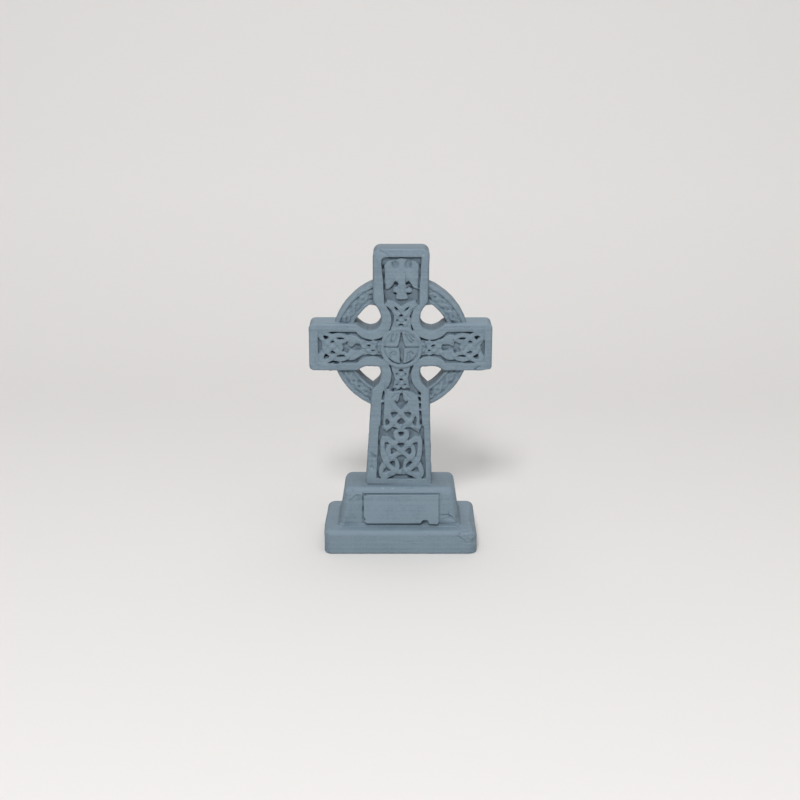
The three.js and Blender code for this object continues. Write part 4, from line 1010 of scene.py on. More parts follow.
def cross_body(sizes):
    """Shaft, arms and top limb with their panels sunk front and back."""
    depth = sizes.panel_depth / MM
    body = prism(cross_outline(), FRONT, BACK, sizes.edge / MM, both=True)
    outline = panel_outline(sizes.border / MM)
    tip = SPAN / 2 + OVERLAP
    wedge = [(15.2, ARM_FOOT - 1), (15.3, ARM_FOOT - 0.05), (16.0, ARM_FOOT + 0.06),
             (16.5, ARM_FOOT + 0.2), (17.1, ARM_FOOT + 0.28), (tip, ARM_FOOT + 0.45),
             (tip, ARM_FOOT - 1)]
    cutters = [
        prism(outline, FRONT - 1, FRONT + depth),
        prism(outline, BACK - depth, BACK + 1),
        prism(wedge, FRONT - 1, BACK + 1),
    ]
    return cut(body, cutters)


def sags():
    """Drooping print under the left arm and the step at the right arm's break."""
    inner = THICKNESS / 2 - 0.5
    return [
        ball((-13.8, 0, ARM_FOOT), (0.95, inner, 0.46)),
        ball((-15.8, 0, ARM_FOOT + 0.05), (0.8, inner, 0.12)),
        ball((14.9, 0, ARM_FOOT + 0.12), (0.7, inner, 0.22)),
    ]


def fused(meshes, grain):
    """One closed print from overlapping solids, with the soft corners of a real one."""
    bm = bmesh.new()
    for mesh in meshes:
        bm.from_mesh(mesh)
        bpy.data.meshes.remove(mesh)
    whole = bpy.data.meshes.new("whole")
    bm.to_mesh(whole)
    bm.free()
    piece = as_object(whole)
    remesh = piece.modifiers.new("fuse", "REMESH")
    remesh.mode = "VOXEL"
    remesh.voxel_size = grain
    soften = piece.modifiers.new("soften", "SMOOTH")
    soften.factor = SOFTEN
    soften.iterations = 1
    return applied(piece)


def thinned(mesh, most):
    """Fewer faces where the print is flat."""
    count = sum(len(p.vertices) - 2 for p in mesh.polygons)
    piece = as_object(mesh)
    if count > most:
        modifier = piece.modifiers.new("thin", "DECIMATE")
        modifier.ratio = most / count
    return applied(piece)


def coordinates(mesh):
    """A mesh's points and their normals."""
    places = np.empty(len(mesh.vertices) * 3, dtype=np.float32)
    mesh.vertices.foreach_get("co", places)
    normals = np.empty(len(mesh.vertices) * 3, dtype=np.float32)
    mesh.vertices.foreach_get("normal", normals)
    return places.reshape(-1, 3).astype(float), normals.reshape(-1, 3).astype(float)


# Dents and bumps in the plastic: centre, radii and the push at the centre.
MARKS = [
    ((-3.9, FRONT, 59.4), (0.9, 1.2, 0.6), (0, 0.12, -0.08)),
    ((-5.6, FRONT, 18.4), (0.7, 0.8, 0.8), (0.25, 0.3, 0)),
    ((-5.1, FRONT, 18.3), (0.35, 0.8, 0.5), (0, 0.3, 0)),
    ((-5.9, FRONT, 16.0), (0.5, 0.8, 0.5), (0.15, 0.2, 0)),
    ((-5.4, FRONT, 24.2), (0.4, 0.8, 0.7), (0.12, 0.06, 0)),
    ((5.55, FRONT, 21.5), (0.4, 0.8, 1.0), (-0.12, 0.06, 0)),
    ((5.3, FRONT, 27.5), (0.35, 0.8, 0.8), (-0.1, 0.05, 0)),
    ((10.0, -6.4, 6.6), (1.4, 1.2, 0.8), (0, 0.22, 0.05)),
    ((11.5, -5.8, 6.2), (0.7, 0.9, 1.0), (-0.15, 0.2, 0)),
    ((12.7, -8.9, 4.75), (1.1, 0.8, 0.5), (0, 0.1, -0.28)),
    ((14.9, -7.8, 4.5), (0.9, 1.8, 1.1), (-0.45, 0.1, 0)),
    ((14.4, -8.9, 2.6), (0.8, 1.0, 1.0), (-0.2, 0.25, 0)),
    ((-10.2, -5.4, 12.1), (1.2, 1.2, 0.7), (0.1, 0.15, -0.3)),
    ((2.15, -5.0, 12.45), (0.4, 0.8, 0.4), (0, 0.1, -0.2)),
    ((13.8, -5.4, 4.8), (0.7, 0.9, 0.4), (0, 0, -0.2)),
    ((10.75, -2.0, 12.9), (1.4, 6.5, 1.7), (-0.5, 0, -0.12)),
    ((14.7, -2.0, 4.6), (1.3, 9.0, 1.5), (-0.45, 0, -0.12)),
    ((-14.9, -3.0, 4.3), (0.9, 9.0, 1.3), (-0.2, 0, 0.1)),
    ((-17.4, -1.0, 44.9), (0.9, 2.4, 0.8), (0.1, 0, -0.1)),
    ((17.3, -1.0, 44.8), (0.9, 2.4, 0.8), (-0.15, 0, -0.12)),
    ((5.3, -1.0, 59.6), (0.9, 2.4, 0.8), (-0.15, 0, -0.12)),
]

# Scratches, cracks and grooves on the front: points across and up, width, depth. A negative
# depth raises a ridge.
SCRATCHES = [
    ([(-4.1, 59.75), (-3.4, 59.3), (-2.7, 58.9), (-2.2, 58.4)], 0.2, 0.14),
    ([(3.3, 59.2), (3.9, 58.7), (4.4, 58.3)], 0.16, -0.12),
    ([(-5.9, 19.0), (-5.4, 18.3), (-5.2, 18.0)], 0.18, 0.25),
    ([(-5.6, 17.6), (-5.7, 16.4), (-5.5, 15.6)], 0.14, 0.12),
    ([(-6.2, 21.2), (-5.9, 22.9)], 0.14, 0.1),
    ([(14.4, 36.0), (14.8, 36.3), (15.2, 36.6), (15.5, 36.7)], 0.16, 0.3),
    ([(14.6, 36.1), (14.7, 36.4)], 0.2, 0.2),
    ([(-16.9, 37.4), (-16.6, 37.0), (-15.9, 36.9)], 0.16, 0.1),
    ([(6.8, 36.1), (8.2, 37.4), (9.4, 37.0), (10.6, 36.9)], 0.14, 0.07),
    ([(-10.4, 44.6), (-8.6, 44.4), (-7.4, 43.9)], 0.14, 0.06),
    ([(8.6, 44.4), (11.2, 44.7), (13.4, 44.5)], 0.14, 0.06),
    ([(-3.1, 47.8), (-2.6, 46.2), (-2.9, 44.9)], 0.14, 0.05),
    # foot of the border beside the bird's tail
    ([(-3.2, 52.1), (-3.1, 50.0)], 0.12, 0.25),
    ([(3.58, 52.1), (3.55, 50.2)], 0.12, 0.25),
    # feathers
    ([(-2.9, 53.9), (-2.3, 53.3), (-1.9, 52.7)], 0.1, 0.1),
    ([(-2.3, 54.0), (-1.9, 53.4), (-1.5, 53.0)], 0.1, 0.1),
    ([(2.2, 53.8), (2.5, 53.2), (2.9, 52.6)], 0.1, 0.1),
    ([(2.8, 53.9), (3.1, 53.2), (3.4, 52.5)], 0.1, 0.1),
    ([(-0.2, 52.7), (-0.25, 51.9), (0.0, 51.2)], 0.1, 0.12),
    ([(0.7, 52.6), (0.8, 51.9), (0.75, 51.3)], 0.1, 0.12),
    # across and round the boss
    ([(-3.0, 40.63), (-0.7, 40.63)], 0.1, 0.3),
    ([(1.1, 40.63), (3.3, 40.63)], 0.1, 0.3),
    ([(-2.95, 40.75), (-3.05, 40.6)], 0.12, 0.3),
    ([(0.1, 43.5), (0.1, 42.6)], 0.1, 0.25),
    ([(-0.15, 38.6), (0.05, 37.9)], 0.12, 0.3),
    ([(2.2, 37.9), (3.0, 38.5), (3.3, 39.1)], 0.12, 0.3),
    ([(-4.3, 41.7), (-4.7, 40.9), (-4.6, 40.2), (-4.25, 39.5)], 0.12, 0.35),
    ([(4.65, 41.6), (4.98, 40.8), (4.85, 40.1), (4.55, 39.4)], 0.12, 0.35),
    # weave of the necks
    ([(-1.3, 47.3), (-0.5, 46.6), (0.4, 46.35), (1.4, 46.6)], 0.1, 0.1),
    ([(-1.0, 45.6), (-0.2, 45.75), (0.6, 45.6), (1.4, 45.75)], 0.1, 0.1),
    ([(-1.1, 36.4), (-0.3, 36.3), (0.5, 36.35), (1.4, 36.5)], 0.1, 0.08),
    ([(-1.1, 34.7), (-0.2, 34.75), (0.5, 34.7), (1.3, 34.9)], 0.1, 0.1),
    ([(-1.0, 33.6), (0.0, 33.5), (1.2, 33.7)], 0.1, 0.1),
    ([(-7.3, 40.3), (-6.6, 40.4), (-6.0, 40.3), (-5.3, 40.6), (-4.5, 40.5)], 0.1, 0.1),
    ([(-7.4, 39.8), (-6.6, 39.7), (-6.0, 39.5), (-5.0, 39.45)], 0.1, 0.1),
    ([(-7.0, 41.5), (-6.0, 41.5), (-5.2, 41.2), (-4.6, 41.3)], 0.1, 0.1),
    ([(7.5, 40.3), (6.8, 40.4), (6.2, 40.3), (5.5, 40.6), (4.7, 40.5)], 0.1, 0.1),
    ([(7.6, 39.8), (6.8, 39.7), (6.2, 39.5), (5.2, 39.45)], 0.1, 0.1),
    ([(7.2, 41.5), (6.2, 41.5), (5.4, 41.2), (4.8, 41.3)], 0.1, 0.1),
    # worn lines beside the arch
    ([(-3.0, 32.9), (-2.9, 31.4), (-2.6, 30.5)], 0.12, 0.15),
    ([(0.9, 31.3), (1.3, 31.0), (1.5, 30.4)], 0.1, 0.12),
    ([(-0.6, 31.3), (-1.2, 30.9), (-1.7, 30.4)], 0.1, 0.1),
]

# Marks on the base's front: the same, but cut wherever the base faces forwards.
BASE_SCRATCHES = [
    ([(8.05, 6.95), (9.6, 7.0)], 0.13, 0.28),
    ([(9.6, 7.9), (9.75, 7.3), (9.85, 7.0)], 0.13, -0.22),
    ([(9.9, 7.2), (10.8, 6.4), (11.5, 5.4), (11.7, 4.4)], 0.14, -0.22),
    ([(8.8, 6.3), (9.8, 6.3), (10.6, 5.9)], 0.12, 0.1),
    ([(11.4, 3.7), (12.0, 3.2), (12.8, 2.9)], 0.14, 0.2),
    ([(12.0, 3.9), (12.6, 3.2), (13.2, 2.7)], 0.16, -0.2),
    ([(12.4, 2.6), (13.2, 2.3), (13.9, 2.4)], 0.12, 0.18),
    ([(13.0, 3.6), (13.9, 3.3), (14.5, 3.4)], 0.12, -0.14),
    ([(0.5, 2.55), (2.8, 2.5), (4.6, 2.62)], 0.1, 0.08),
    ([(-10.1, 10.1), (-9.3, 10.9), (-8.9, 11.4), (-8.1, 11.2)], 0.14, -0.14),
    ([(-10.3, 9.7), (-9.4, 10.5), (-8.9, 10.9)], 0.12, 0.1),
    ([(-7.5, 11.25), (-7.0, 11.0), (-6.6, 10.95)], 0.12, 0.1),
]

# Chips out of the plaque's edges.
PLAQUE_CHIPS = [
    [(4.3, 5.0), (4.25, 5.75), (4.7, 5.9), (5.2, 5.85), (5.5, 5.3), (5.6, 5.0)],
    [(3.9, 5.0), (3.95, 5.5), (4.4, 5.6), (4.4, 5.0)],
    [(-7.6, 10.7), (-7.25, 10.6), (-7.05, 10.25), (-7.4, 10.1), (-7.6, 10.1)],
    [(-7.6, 6.7), (-7.2, 6.55), (-7.0, 6.2), (-7.6, 6.1)],
    [(7.75, 6.9), (7.5, 6.75), (7.75, 6.55)],
]


def near_line(flat, points):
    """Each point's distance to a line through the given points."""
    nearest = np.full(len(flat), np.inf)
    for start, end in zip(points, points[1:]):
        a = np.array(start)
        along = np.array(end) - a
        t = np.clip(((flat - a) @ along) / (along @ along), 0, 1)
        nearest = np.minimum(nearest, np.linalg.norm(flat - a - t[:, None] * along, axis=1))
    return nearest


def inside(flat, outline):
    """Whether each point lies inside a closed outline."""
    within = np.zeros(len(flat), dtype=bool)
    for (x0, z0), (x1, z1) in zip(outline, outline[1:] + outline[:1]):
        if z0 == z1:
            continue
        crosses = (z0 > flat[:, 1]) != (z1 > flat[:, 1])
        within ^= crosses & (flat[:, 0] < (x1 - x0) * (flat[:, 1] - z0) / (z1 - z0) + x0)
    return within


def sink(places, chosen, outline, floor, soft=0.04):
    """Push the chosen points inside an outline back to a floor, with soft walls."""
    ring = outline + outline[:1]
    low = np.min(outline, axis=0) - soft
    high = np.max(outline, axis=0) + soft
    flat = places[:, [0, 2]]
    near = np.flatnonzero(chosen & ((flat > low) & (flat < high)).all(1))
    spot = flat[near]
    away = near_line(spot, ring)
    away[inside(spot, outline)] *= -1
    share = np.clip(0.5 - away / (2 * soft), 0, 1)
    behind = np.maximum(floor - places[near, 1], 0)
    places[near, 1] += share * share * (3 - 2 * share) * behind


def scratch(places, facing, points, width, depth):
    """Press a line into the front, or raise it."""
    low = np.min(points, axis=0) - 3 * width
    high = np.max(points, axis=0) + 3 * width
    flat = places[:, [0, 2]]
    near = np.flatnonzero((facing > 0) & ((flat > low) & (flat < high)).all(1))
    away = near_line(flat[near], points)
    places[near, 1] += np.exp(-(away / width) ** 2) * depth * facing[near]


def softened(points, spacing):
    """A smooth line through three points or more; a straight one stays as it is."""
    return smooth_route(points, spacing).tolist() if len(points) > 2 else points


def sink_gaps(places, facing, floor):
    """Open the carving's gaps, the bird's hollows and the plaque's chips."""
    carving = (facing > 0) & (places[:, 1] < floor + 0.1) & (places[:, 2] > PANEL_FOOT - 0.2)
    for outline in GAPS:
        spread = np.ptp(outline, axis=0).prod()
        deeper = SMALL_GAP_DEEPER if spread < SMALL_GAP else GAP_DEEPER
        sink(places, carving, outline, floor + deeper)
    for outline in DIMPLES:
        sink(places, carving, outline, FRONT + DIMPLE_DEPTH, 0.09)
    face_y = -PLINTH_FOOT[1] / 2
    on_plaque = (facing > 0) & (places[:, 2] < PLINTH_TOP_Z) & (places[:, 1] < face_y + 1)
    for outline in PLAQUE_CHIPS:
        sink(places, on_plaque, outline, face_y + PLAQUE_CHIP_DEPTH)


def dent(places, centre, radii, push):
    """Push the points near a centre, most at the centre itself."""
    away = np.linalg.norm((places - np.array(centre)) / np.array(radii), axis=1)
    share = np.clip(1 - away, 0, 1)
    amount = share ** 2 * (3 - 2 * share)
    places += amount[:, None] * np.array(push)


def carved(mesh, sizes):
    """Cut the gaps, grooves, scratches and dents into the fused print."""
    places, normals = coordinates(mesh)
    facing = np.clip(-normals[:, 1] * 1.5, 0, 1)
    on_cross = facing * (places[:, 1] < FRONT + 0.85) * (places[:, 2] > PLINTH_TOP_Z + 0.4)
    on_base = facing * (places[:, 2] < PLINTH_TOP_Z)
    sink_gaps(places, facing, FRONT + sizes.panel_depth / MM)
    lines = [(softened(points, SCRATCH_STEP), width, depth) for points, width, depth in SCRATCHES]
    lines += [(softened(on_boss(curl), ROUTE_STEP), CURL_WIDTH, CURL_DEPTH) for curl in CURLS]
    for line in lines:
        scratch(places, on_cross, *line)
    for line in BASE_SCRATCHES:
        scratch(places, on_base, *line)
    for mark in MARKS:
        dent(places, *mark)
    mesh.vertices.foreach_set("co", places.astype(np.float32).ravel())
    mesh.update()
    return mesh


def blurred(grid, reach):
    """A grid smoothed by a bell of the given reach in cells."""
    span = int(3 * reach)
    bell = np.exp(-0.5 * (np.arange(-span, span + 1) / reach) ** 2)
    bell /= bell.sum()
    padded = np.pad(grid, span, mode="edge")
    rows = sum(share * padded[i:i + grid.shape[0]] for i, share in enumerate(bell))
    return sum(share * rows[:, i:i + grid.shape[1]] for i, share in enumerate(bell))


class Relief:
    """The front's height, kept as a grid, to tell gaps and edges from flats."""

    CELL = 0.1
    REACH = 0.42

    def __init__(self, mesh):
        places, normals = coordinates(mesh)
        front = places[normals[:, 1] < -0.05]
        self.low = places.min(0)[[0, 2]] - 1
        size = np.ceil((places.max(0)[[0, 2]] + 1 - self.low) / self.CELL).astype(int) + 1
        self.grid = np.full(size, BACK)
        cell = self.cells(front)
        np.minimum.at(self.grid, (cell[:, 0], cell[:, 1]), front[:, 1])
        self.around = blurred(self.grid, self.REACH / self.CELL)

    def cells(self, places):
        """Each point's cell in the grid."""
        return ((places[:, [0, 2]] - self.low) / self.CELL).astype(int)

    def sunk(self, places):
        """How far each point lies behind the surface around it, in millimetres."""
        cell = self.cells(places)
        return places[:, 1] - self.around[cell[:, 0], cell[:, 1]]


def roughened(places, normals, wander):
    """Push points off true: everywhere a little, on the cross's walls and the ring's band more."""
    shift = np.array([
        noise.noise(Vector(p) * 0.55) + 0.6 * noise.noise(Vector(p) * 1.7 + Vector((7, 3, 1)))
        for p in places])
    places += normals * (shift * wander)[:, None]
    wall = np.clip(1.2 - 2 * abs(normals[:, 1]), 0, 1) * (places[:, 1] < FRONT + 1.0)
    wall *= np.clip((places[:, 2] - PLINTH_TOP_Z - 0.3) / 0.5, 0, 1)
    ragged = np.array([
        noise.noise(Vector((p[0] * 1.1, 0, p[2] * 2.6)))
        + 0.6 * noise.noise(Vector((p[0] * 3.0, 9, p[2] * 5.0))) for p in places])
    places += normals * (ragged * wall * WALL_RAGGED * wander)[:, None]
    radius = ring_radius(places)
    on_ring = (radius > RING_INNER) & (radius < RING_OUTER - 0.3) & (places[:, 1] < -1.6)
    on_ring &= places[:, 1] > FRONT + 0.5
    places[:, 1] += on_ring * np.clip(ragged, -1, 1) * BAND_RAGGED * wander


def ring_radius(places):
    """Each point's distance from the ring's middle, in the ring's own roundness."""
    return np.hypot(places[:, 0] / RING_STRETCH, places[:, 2] - RING_Z)


def panel_floor(places, radius):
    """How far each point lies down towards the floor of a front panel, from 0 to 1."""
    behind = np.clip((places[:, 1] - FRONT - 0.22) / 0.4, 0, 1) * (places[:, 1] < FRONT + 2)
    in_arm = (abs(places[:, 2] - ARM_Z) < ARM_HEIGHT / 2 - 1) & (radius > RING_OUTER + 0.3)
    behind *= (radius < BOSS_RADIUS + 1) | (abs(places[:, 0]) < 5) | in_arm
    return behind * (places[:, 2] > PANEL_FOOT - 0.3)


def free_of_painted_shade(places, facing):
    """Points that never get a gap's painted shade: the base beside the plaque, walls of hollows,
    sides.
    """
    beside_plaque = abs(places[:, 0] - CARVING_X) > PLAQUE_WIDTH / 2 + 0.6
    on_slab = places[:, 2] < SLAB_HEIGHT + 0.4
    bright = (places[:, 2] < PLINTH_TOP_Z - 0.3) & (beside_plaque | on_slab)
    for side in (-1, 1):
        for up in (-1, 1):
            away = np.hypot(places[:, 0] - side * HOLLOW_ACROSS,
                            places[:, 2] - CARVING_Z - up * HOLLOW_UP)
            bright |= (away < HOLLOW_RADIUS * 1.7) & (facing < 0.5)
    return bright | (facing < 0.5) & (places[:, 1] > FRONT + 1.3)


def note(mesh, name, values):
    """Keep a number for each point of a mesh, for the material to read."""
    attribute = mesh.attributes.new(name, "FLOAT", "POINT")
    attribute.data.foreach_set("value", values.astype(np.float32))


def uneven_with_painted_light(mesh, sizes, relief):
    """Slight unevenness all over; a record of painted gap shade, of edges paled by wear and painted
    light, of painted top light and of flat tops.
    """
    places, normals = coordinates(mesh)
    roughened(places, normals, sizes.unevenness / MM)
    sunk = relief.sunk(places) * (places[:, 1] < -THICKNESS * 0.15)
    facing = np.clip(-normals[:, 1] * 2, 0, 1)
    behind = panel_floor(places, ring_radius(places))
    # Painted shade: gaps and panel floors are darkened where shade falls in them.
    shade = np.clip((sunk - GAP_FROM) / GAP_FULL, 0, 1) + PANEL_SHADE * behind
    note(mesh, "gap", np.minimum(shade, MOST_SHADE) * ~free_of_painted_shade(places, facing))
    # Raised front edges are paled by wear and a painted highlight, upward faces by painted top
    # light.
    up = np.clip(normals[:, 2], 0, 1)
    note(mesh, "wear_and_painted_light", np.clip(-sunk / WEAR_AND_HIGHLIGHT_FULL, 0, 1) * facing + up)
    note(mesh, "top", np.clip((normals[:, 2] - 0.85) / 0.12, 0, 1))
    low, high = (np.array(corner) / MM for corner in CAD_BOX)
    places = np.clip(places, low, high)
    mesh.vertices.foreach_set("co", (places * MM).astype(np.float32).ravel())
    mesh.update()
    return mesh


class Value:
    """A shader number that takes part in Python sums."""

    def __init__(self, shader, socket):
        self.shader = shader
        self.socket = socket

    def _math(self, operation, *values):
        return self.shader.node("ShaderNodeMath", {"operation": operation}, dict(enumerate(values)))

    def __add__(self, other):
        return self._math("ADD", self, other)

    def __sub__(self, other):
        return self._math("SUBTRACT", self, other)

    def __mul__(self, other):
        return self._math("MULTIPLY", self, other)

    def __truediv__(self, other):
        return self._math("DIVIDE", self, other)

    def __pow__(self, other):
        return self._math("POWER", self, other)

    def __radd__(self, other):
        return self._math("ADD", other, self)

    def __rsub__(self, other):
        return self._math("SUBTRACT", other, self)

    def __rmul__(self, other):
        return self._math("MULTIPLY", other, self)

    def sine(self):
        return self._math("SINE", self)

    def larger(self, other):
        return self._math("MAXIMUM", self, other)


class Shader:
    """Adds nodes to one material."""

    def __init__(self, material):
        material.use_nodes = True
        self.tree = material.node_tree
        self.tree.nodes.clear()

    def node(self, kind, settings=None, inputs=None, output=0):
        """Add a node with its settings and its sockets' values or links; one output is given."""
        made = self.tree.nodes.new(kind)
        for name, value in (settings or {}).items():
            setattr(made, name, value)
        for name, value in (inputs or {}).items():
            socket = made.inputs[name]
            if isinstance(value, Value):
                self.tree.links.new(value.socket, socket)
            else:
                socket.default_value = value
        return Value(self, made.outputs[output]) if made.outputs else made

    def axes(self, place):
        """The three coordinates of a place."""
        first = self.node("ShaderNodeSeparateXYZ", None, {0: place})
        return [Value(self, socket) for socket in first.socket.node.outputs]

    def noise(self, place, scale, detail, roughness=0.5):
        """A cloudy pattern between 0 and 1."""
        return self.node("ShaderNodeTexNoise", None, {
            "Vector": place, "Scale": scale, "Detail": detail, "Roughness": roughness})

    def mix(self, factor, first, second):
        """Mix two colours by a factor."""
        return self.node("ShaderNodeMix", {"data_type": "RGBA"},
                         {0: factor, 6: first, 7: second}, 2)

    def attribute(self, name):
        """A number kept for each point of the mesh."""
        return self.node("ShaderNodeAttribute", {"attribute_name": name}, None, "Fac")


def opaque(colour, share=1.0):
    """A colour times a share, as a socket takes it."""
    return tuple(c * share for c in colour) + (1,)


# Flecks of stray pale plastic: [place in millimetres, radius].
FLECKS = [
    ((-4.05, FRONT, 51.3), 0.22), ((4.6, FRONT, 51.4), 0.22), ((-1.6, -5.2, 12.4), 0.4),
    ((-3.6, -5.3, 12.45), 0.5), ((0.6, -5.2, 12.5), 0.35), ((12.9, -9.3, 4.2), 0.3),
    ((13.3, -9.1, 3.1), 0.25), ((-9.9, -5.5, 12.2), 0.35), ((4.4, FRONT, 58.7), 0.3),
    ((-1.75, FRONT + 0.1, 23.7), 0.25), ((2.6, FRONT, 27.4), 0.18),
    ((-3.7, FRONT + 0.1, 29.9), 0.25),
]


def fleck(shader, place, speckle, centre, radius):
    """1 on one ragged fleck, 0 beside it."""
    away = shader.node("ShaderNodeVectorMath", {"operation": "DISTANCE"},
                       {0: place, 1: Vector(centre) * MM}, "Value")
    return shader.node("ShaderNodeMath", {"operation": "LESS_THAN", "use_clamp": True},
                       {0: away + (speckle - 0.5) * (0.9 * radius * MM), 1: radius * MM * 0.8})


def plastic_material(sizes, colours):
    """Blue-grey printed plastic: level layers, faint mottling, pale flecks, painted shade in the
    gaps and painted light on edges and tops.
    """
    material = bpy.data.materials.new("printed_plastic")
    shader = Shader(material)
    place = shader.node("ShaderNodeTexCoord", output="Object")
    across, back, up = shader.axes(place)
    raster = ((across * 0.8 + back) * (2 * math.pi / sizes.raster)).sine()
    wobble = shader.noise(place, WOBBLE_SCALE, 2.0)
    height = up + wobble * (0.35 * sizes.layer)
    layers = (height * (2 * math.pi / sizes.layer)).sine()
    level = shader.node("ShaderNodeCombineXYZ", None, {2: up})
    bands = shader.noise(level, BAND_SCALE, 2.0, 0.6)
    cloud = shader.noise(place, CLOUD_SCALE, 4.0, 0.55)
    speckle = shader.noise(place, SPECKLE_SCALE, 2.0)
    grit = shader.noise(place, GRIT_SCALE, 3.0, 0.7)
    tone = (cloud - 0.5) * 0.8 + (bands - 0.5) * 1.3 + (speckle - 0.5) * 0.8 + 0.35
    # Random tone, plus wear and painted light on raised edges and painted top light on upward
    # faces.
    rubbed = tone + shader.attribute("wear_and_painted_light") * 0.5
    base = shader.mix(rubbed, opaque(colours.plastic, 0.93), opaque(colours.plastic_pale_and_lit))
    # Painted shade: darken gaps and panel floors towards the painted crevice shade.
    base = shader.mix(shader.attribute("gap") * 0.9, base, opaque(colours.painted_crevice_shade))
    spots = 0.0
    for centre, radius in FLECKS:
        spots = fleck(shader, place, speckle, centre, radius).larger(spots)
    base = shader.mix(spots * 0.12, base, opaque(colours.fleck))
    slants = raster * shader.attribute("top")
    relief = layers * 0.9 + bands * 2.4 + grit * 0.7 + cloud * 1.2 + slants * 0.6
    bump = shader.node("ShaderNodeBump", None,
                       {"Height": relief, "Strength": BUMP_STRENGTH, "Distance": BUMP_DEPTH * MM})
    principled = shader.node("ShaderNodeBsdfPrincipled", None, {
        "Base Color": base,
        "Roughness": (cloud - 0.5) * 0.2 + PLASTIC_ROUGHNESS,
        "Specular IOR Level": 0.4,
        "Normal": bump,
    })
    shader.node("ShaderNodeOutputMaterial", None, {"Surface": principled})
    return material


def floor_material(colours):
    """Plain pale paper, painted lighter towards the back as painted light on the backdrop."""
    material = bpy.data.materials.new("pale_sweep")
    shader = Shader(material)
    place = shader.node("ShaderNodeTexCoord", output="Object")
    mottle = shader.noise(place, 6.0, 2.0)
    base = shader.mix(mottle, opaque(colours.floor, 0.985), opaque(colours.floor))
    behind = shader.axes(place)[1]
    # Painted light: the paper grows lighter behind the print, standing in for light on the
    # backdrop.
    painted_back_light = shader.node("ShaderNodeMath", {"operation": "MULTIPLY", "use_clamp": True},
                       {0: behind - 0.1, 1: 6.0})
    base = shader.mix(painted_back_light, base, opaque(colours.floor, 1.09))
    principled = shader.node("ShaderNodeBsdfPrincipled", None,
                             {"Base Color": base, "Roughness": 0.9, "Specular IOR Level": 0.1})
    shader.node("ShaderNodeOutputMaterial", None, {"Surface": principled})
    return material


class MEMORIAL_OT_print(bpy.types.Operator):
    """Model the printed memorial: base, cross, ring and all its carving."""

    bl_idname = "memorial.print"
    bl_label = "Printed memorial"

    def execute(self, context):
        sizes = context.scene.memorial_sizes
        colours = context.scene.memorial_colours
        depth = sizes.panel_depth / MM
        slab = (SLAB_WIDTH, SLAB_DEPTH)
        foot_z = SLAB_HEIGHT - OVERLAP
        plinth = block(PLINTH_FOOT, PLINTH_TOP, PLINTH_CORNER, PLINTH_EDGE, foot_z, PLINTH_TOP_Z)
        skirt = block(PLINTH_SKIRT, PLINTH_FOOT, PLINTH_CORNER, OVERLAP / 4,
                      foot_z, SLAB_HEIGHT + OVERLAP)
        for step in (plinth, skirt):
            step.transform(Matrix.Translation((PLINTH_X, 0, 0)))
        meshes = [
            block(slab, slab, SLAB_CORNER, SLAB_EDGE, 0, SLAB_HEIGHT, SLAB_FOOT_EDGE),
            skirt, cut(plinth, [plaque_seat()]), plaque(), cross_body(sizes), ring(),
            back_boss(depth)]
        meshes += boss(depth) + bird(depth) + webs(depth) + sags() + ring_fillets()
        meshes += knotwork(sizes) + ring_braid(sizes.weave / MM * 0.6)
        mesh = fused(meshes, sizes.grain / MM)
        mesh = carved(mesh, sizes)
        relief = Relief(mesh)
        mesh = uneven_with_painted_light(thinned(mesh, MOST_TRIANGLES), sizes, relief)
        mesh.name = "printed_memorial"
        mesh.materials.clear()
        mesh.materials.append(plastic_material(sizes, colours))
        piece = as_object(smoothed(mesh))
        piece.name = "printed_memorial"
        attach(piece, BODY)
        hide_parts(NODE)
        return {"FINISHED"}


def smoothed(mesh):
    """Shade every face of a mesh smooth."""
    for polygon in mesh.polygons:
        polygon.use_smooth = True
    return mesh


def sweep_mesh():
    """A level floor that bends up into an upright backdrop."""
    bm = bmesh.new()
    side = -SWEEP_HALF_WIDTH
    places = [(side, SWEEP_FRONT, 0), (side, SWEEP_BACK, 0), (side, SWEEP_BACK, SWEEP_HEIGHT)]
    verts = [bm.verts.new(place) for place in places]
    for pair in zip(verts, verts[1:]):
        bm.edges.new(pair)
    bmesh.ops.bevel(bm, geom=[verts[1]], offset=SWEEP_BEND, offset_type="OFFSET", segments=24,
                    profile=0.5, affect="VERTICES", material=-1)
    grown = bmesh.ops.extrude_edge_only(bm, edges=list(bm.edges))["geom"]
    moved = [item for item in grown if isinstance(item, bmesh.types.BMVert)]
    bmesh.ops.translate(bm, verts=moved, vec=(2 * SWEEP_HALF_WIDTH, 0, 0))
    return smoothed(finished(bm, "sweep"))


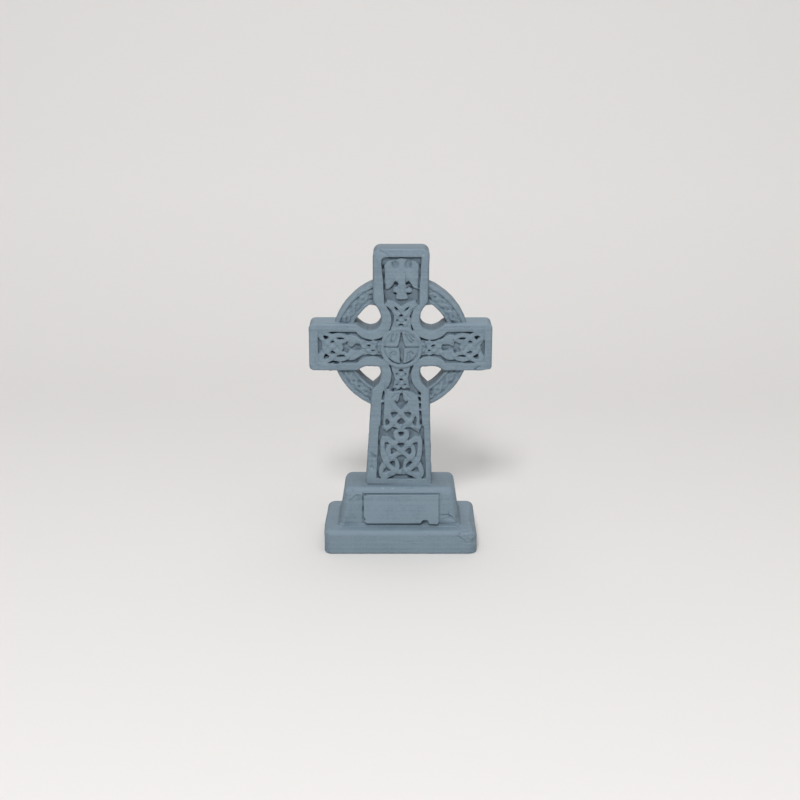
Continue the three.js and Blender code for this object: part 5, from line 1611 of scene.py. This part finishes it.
class MEMORIAL_OT_studio(bpy.types.Operator):
    """Set up the pale sweep, the soft lights and the camera."""

    bl_idname = "memorial.studio"
    bl_label = "Studio"

    def execute(self, context):
        scene = context.scene
        mesh = sweep_mesh()
        mesh.materials.append(floor_material(scene.memorial_colours))
        sweep = as_object(mesh)
        sweep.name = "sweep"
        world = bpy.data.worlds.new("studio_air")
        world.use_nodes = True
        air = world.node_tree.nodes["Background"]
        air.inputs["Color"].default_value = AIR_COLOUR
        air.inputs["Strength"].default_value = AIR_STRENGTH
        scene.world = world
        for name, place, size, power in LAMPS:
            lamp = bpy.data.lights.new(name, "AREA")
            lamp.energy = power
            lamp.size = size
            holder = bpy.data.objects.new(name, lamp)
            holder.location = place
            aim = Vector(LAMP_AIM) - Vector(place)
            holder.rotation_euler = aim.to_track_quat("-Z", "Y").to_euler()
            scene.collection.objects.link(holder)
        camera = bpy.data.cameras.new("camera")
        camera.sensor_width = SENSOR
        camera.lens = FOCAL_PIXELS / PHOTO_SIDE * SENSOR
        camera.clip_start = 0.01
        holder = bpy.data.objects.new("camera", camera)
        holder.location = Vector(CAMERA_PLACE) * MM
        holder.rotation_euler = (math.radians(90 - CAMERA_PITCH), 0, 0)
        scene.collection.objects.link(holder)
        scene.camera = holder
        scene.view_settings.view_transform = "Standard"
        return {"FINISHED"}


class MEMORIAL_PT_panel(bpy.types.Panel):
    """Lists the memorial's sizes, colours and makers."""

    bl_idname = "MEMORIAL_PT_panel"
    bl_label = "Ringed cross memorial"
    bl_space_type = "VIEW_3D"
    bl_region_type = "UI"
    bl_category = "Memorial"

    def draw(self, context):
        for group in (context.scene.memorial_sizes, context.scene.memorial_colours):
            for name in group.bl_rna.properties.keys():
                if name not in ("rna_type", "name"):
                    self.layout.prop(group, name)
        for maker in MAKERS:
            self.layout.operator(maker.bl_idname)


MAKERS = (MEMORIAL_OT_print, MEMORIAL_OT_studio)
CLASSES = (MemorialSizes, MemorialColours) + MAKERS + (MEMORIAL_PT_panel,)


def register():
    for item in CLASSES:
        bpy.utils.register_class(item)
    bpy.types.Scene.memorial_sizes = PointerProperty(type=MemorialSizes)
    bpy.types.Scene.memorial_colours = PointerProperty(type=MemorialColours)


def unregister():
    del bpy.types.Scene.memorial_colours
    del bpy.types.Scene.memorial_sizes
    for item in reversed(CLASSES):
        bpy.utils.unregister_class(item)


def main():
    register()
    bpy.ops.memorial.print()
    bpy.ops.memorial.studio()


if __name__ == "__main__":
    main()
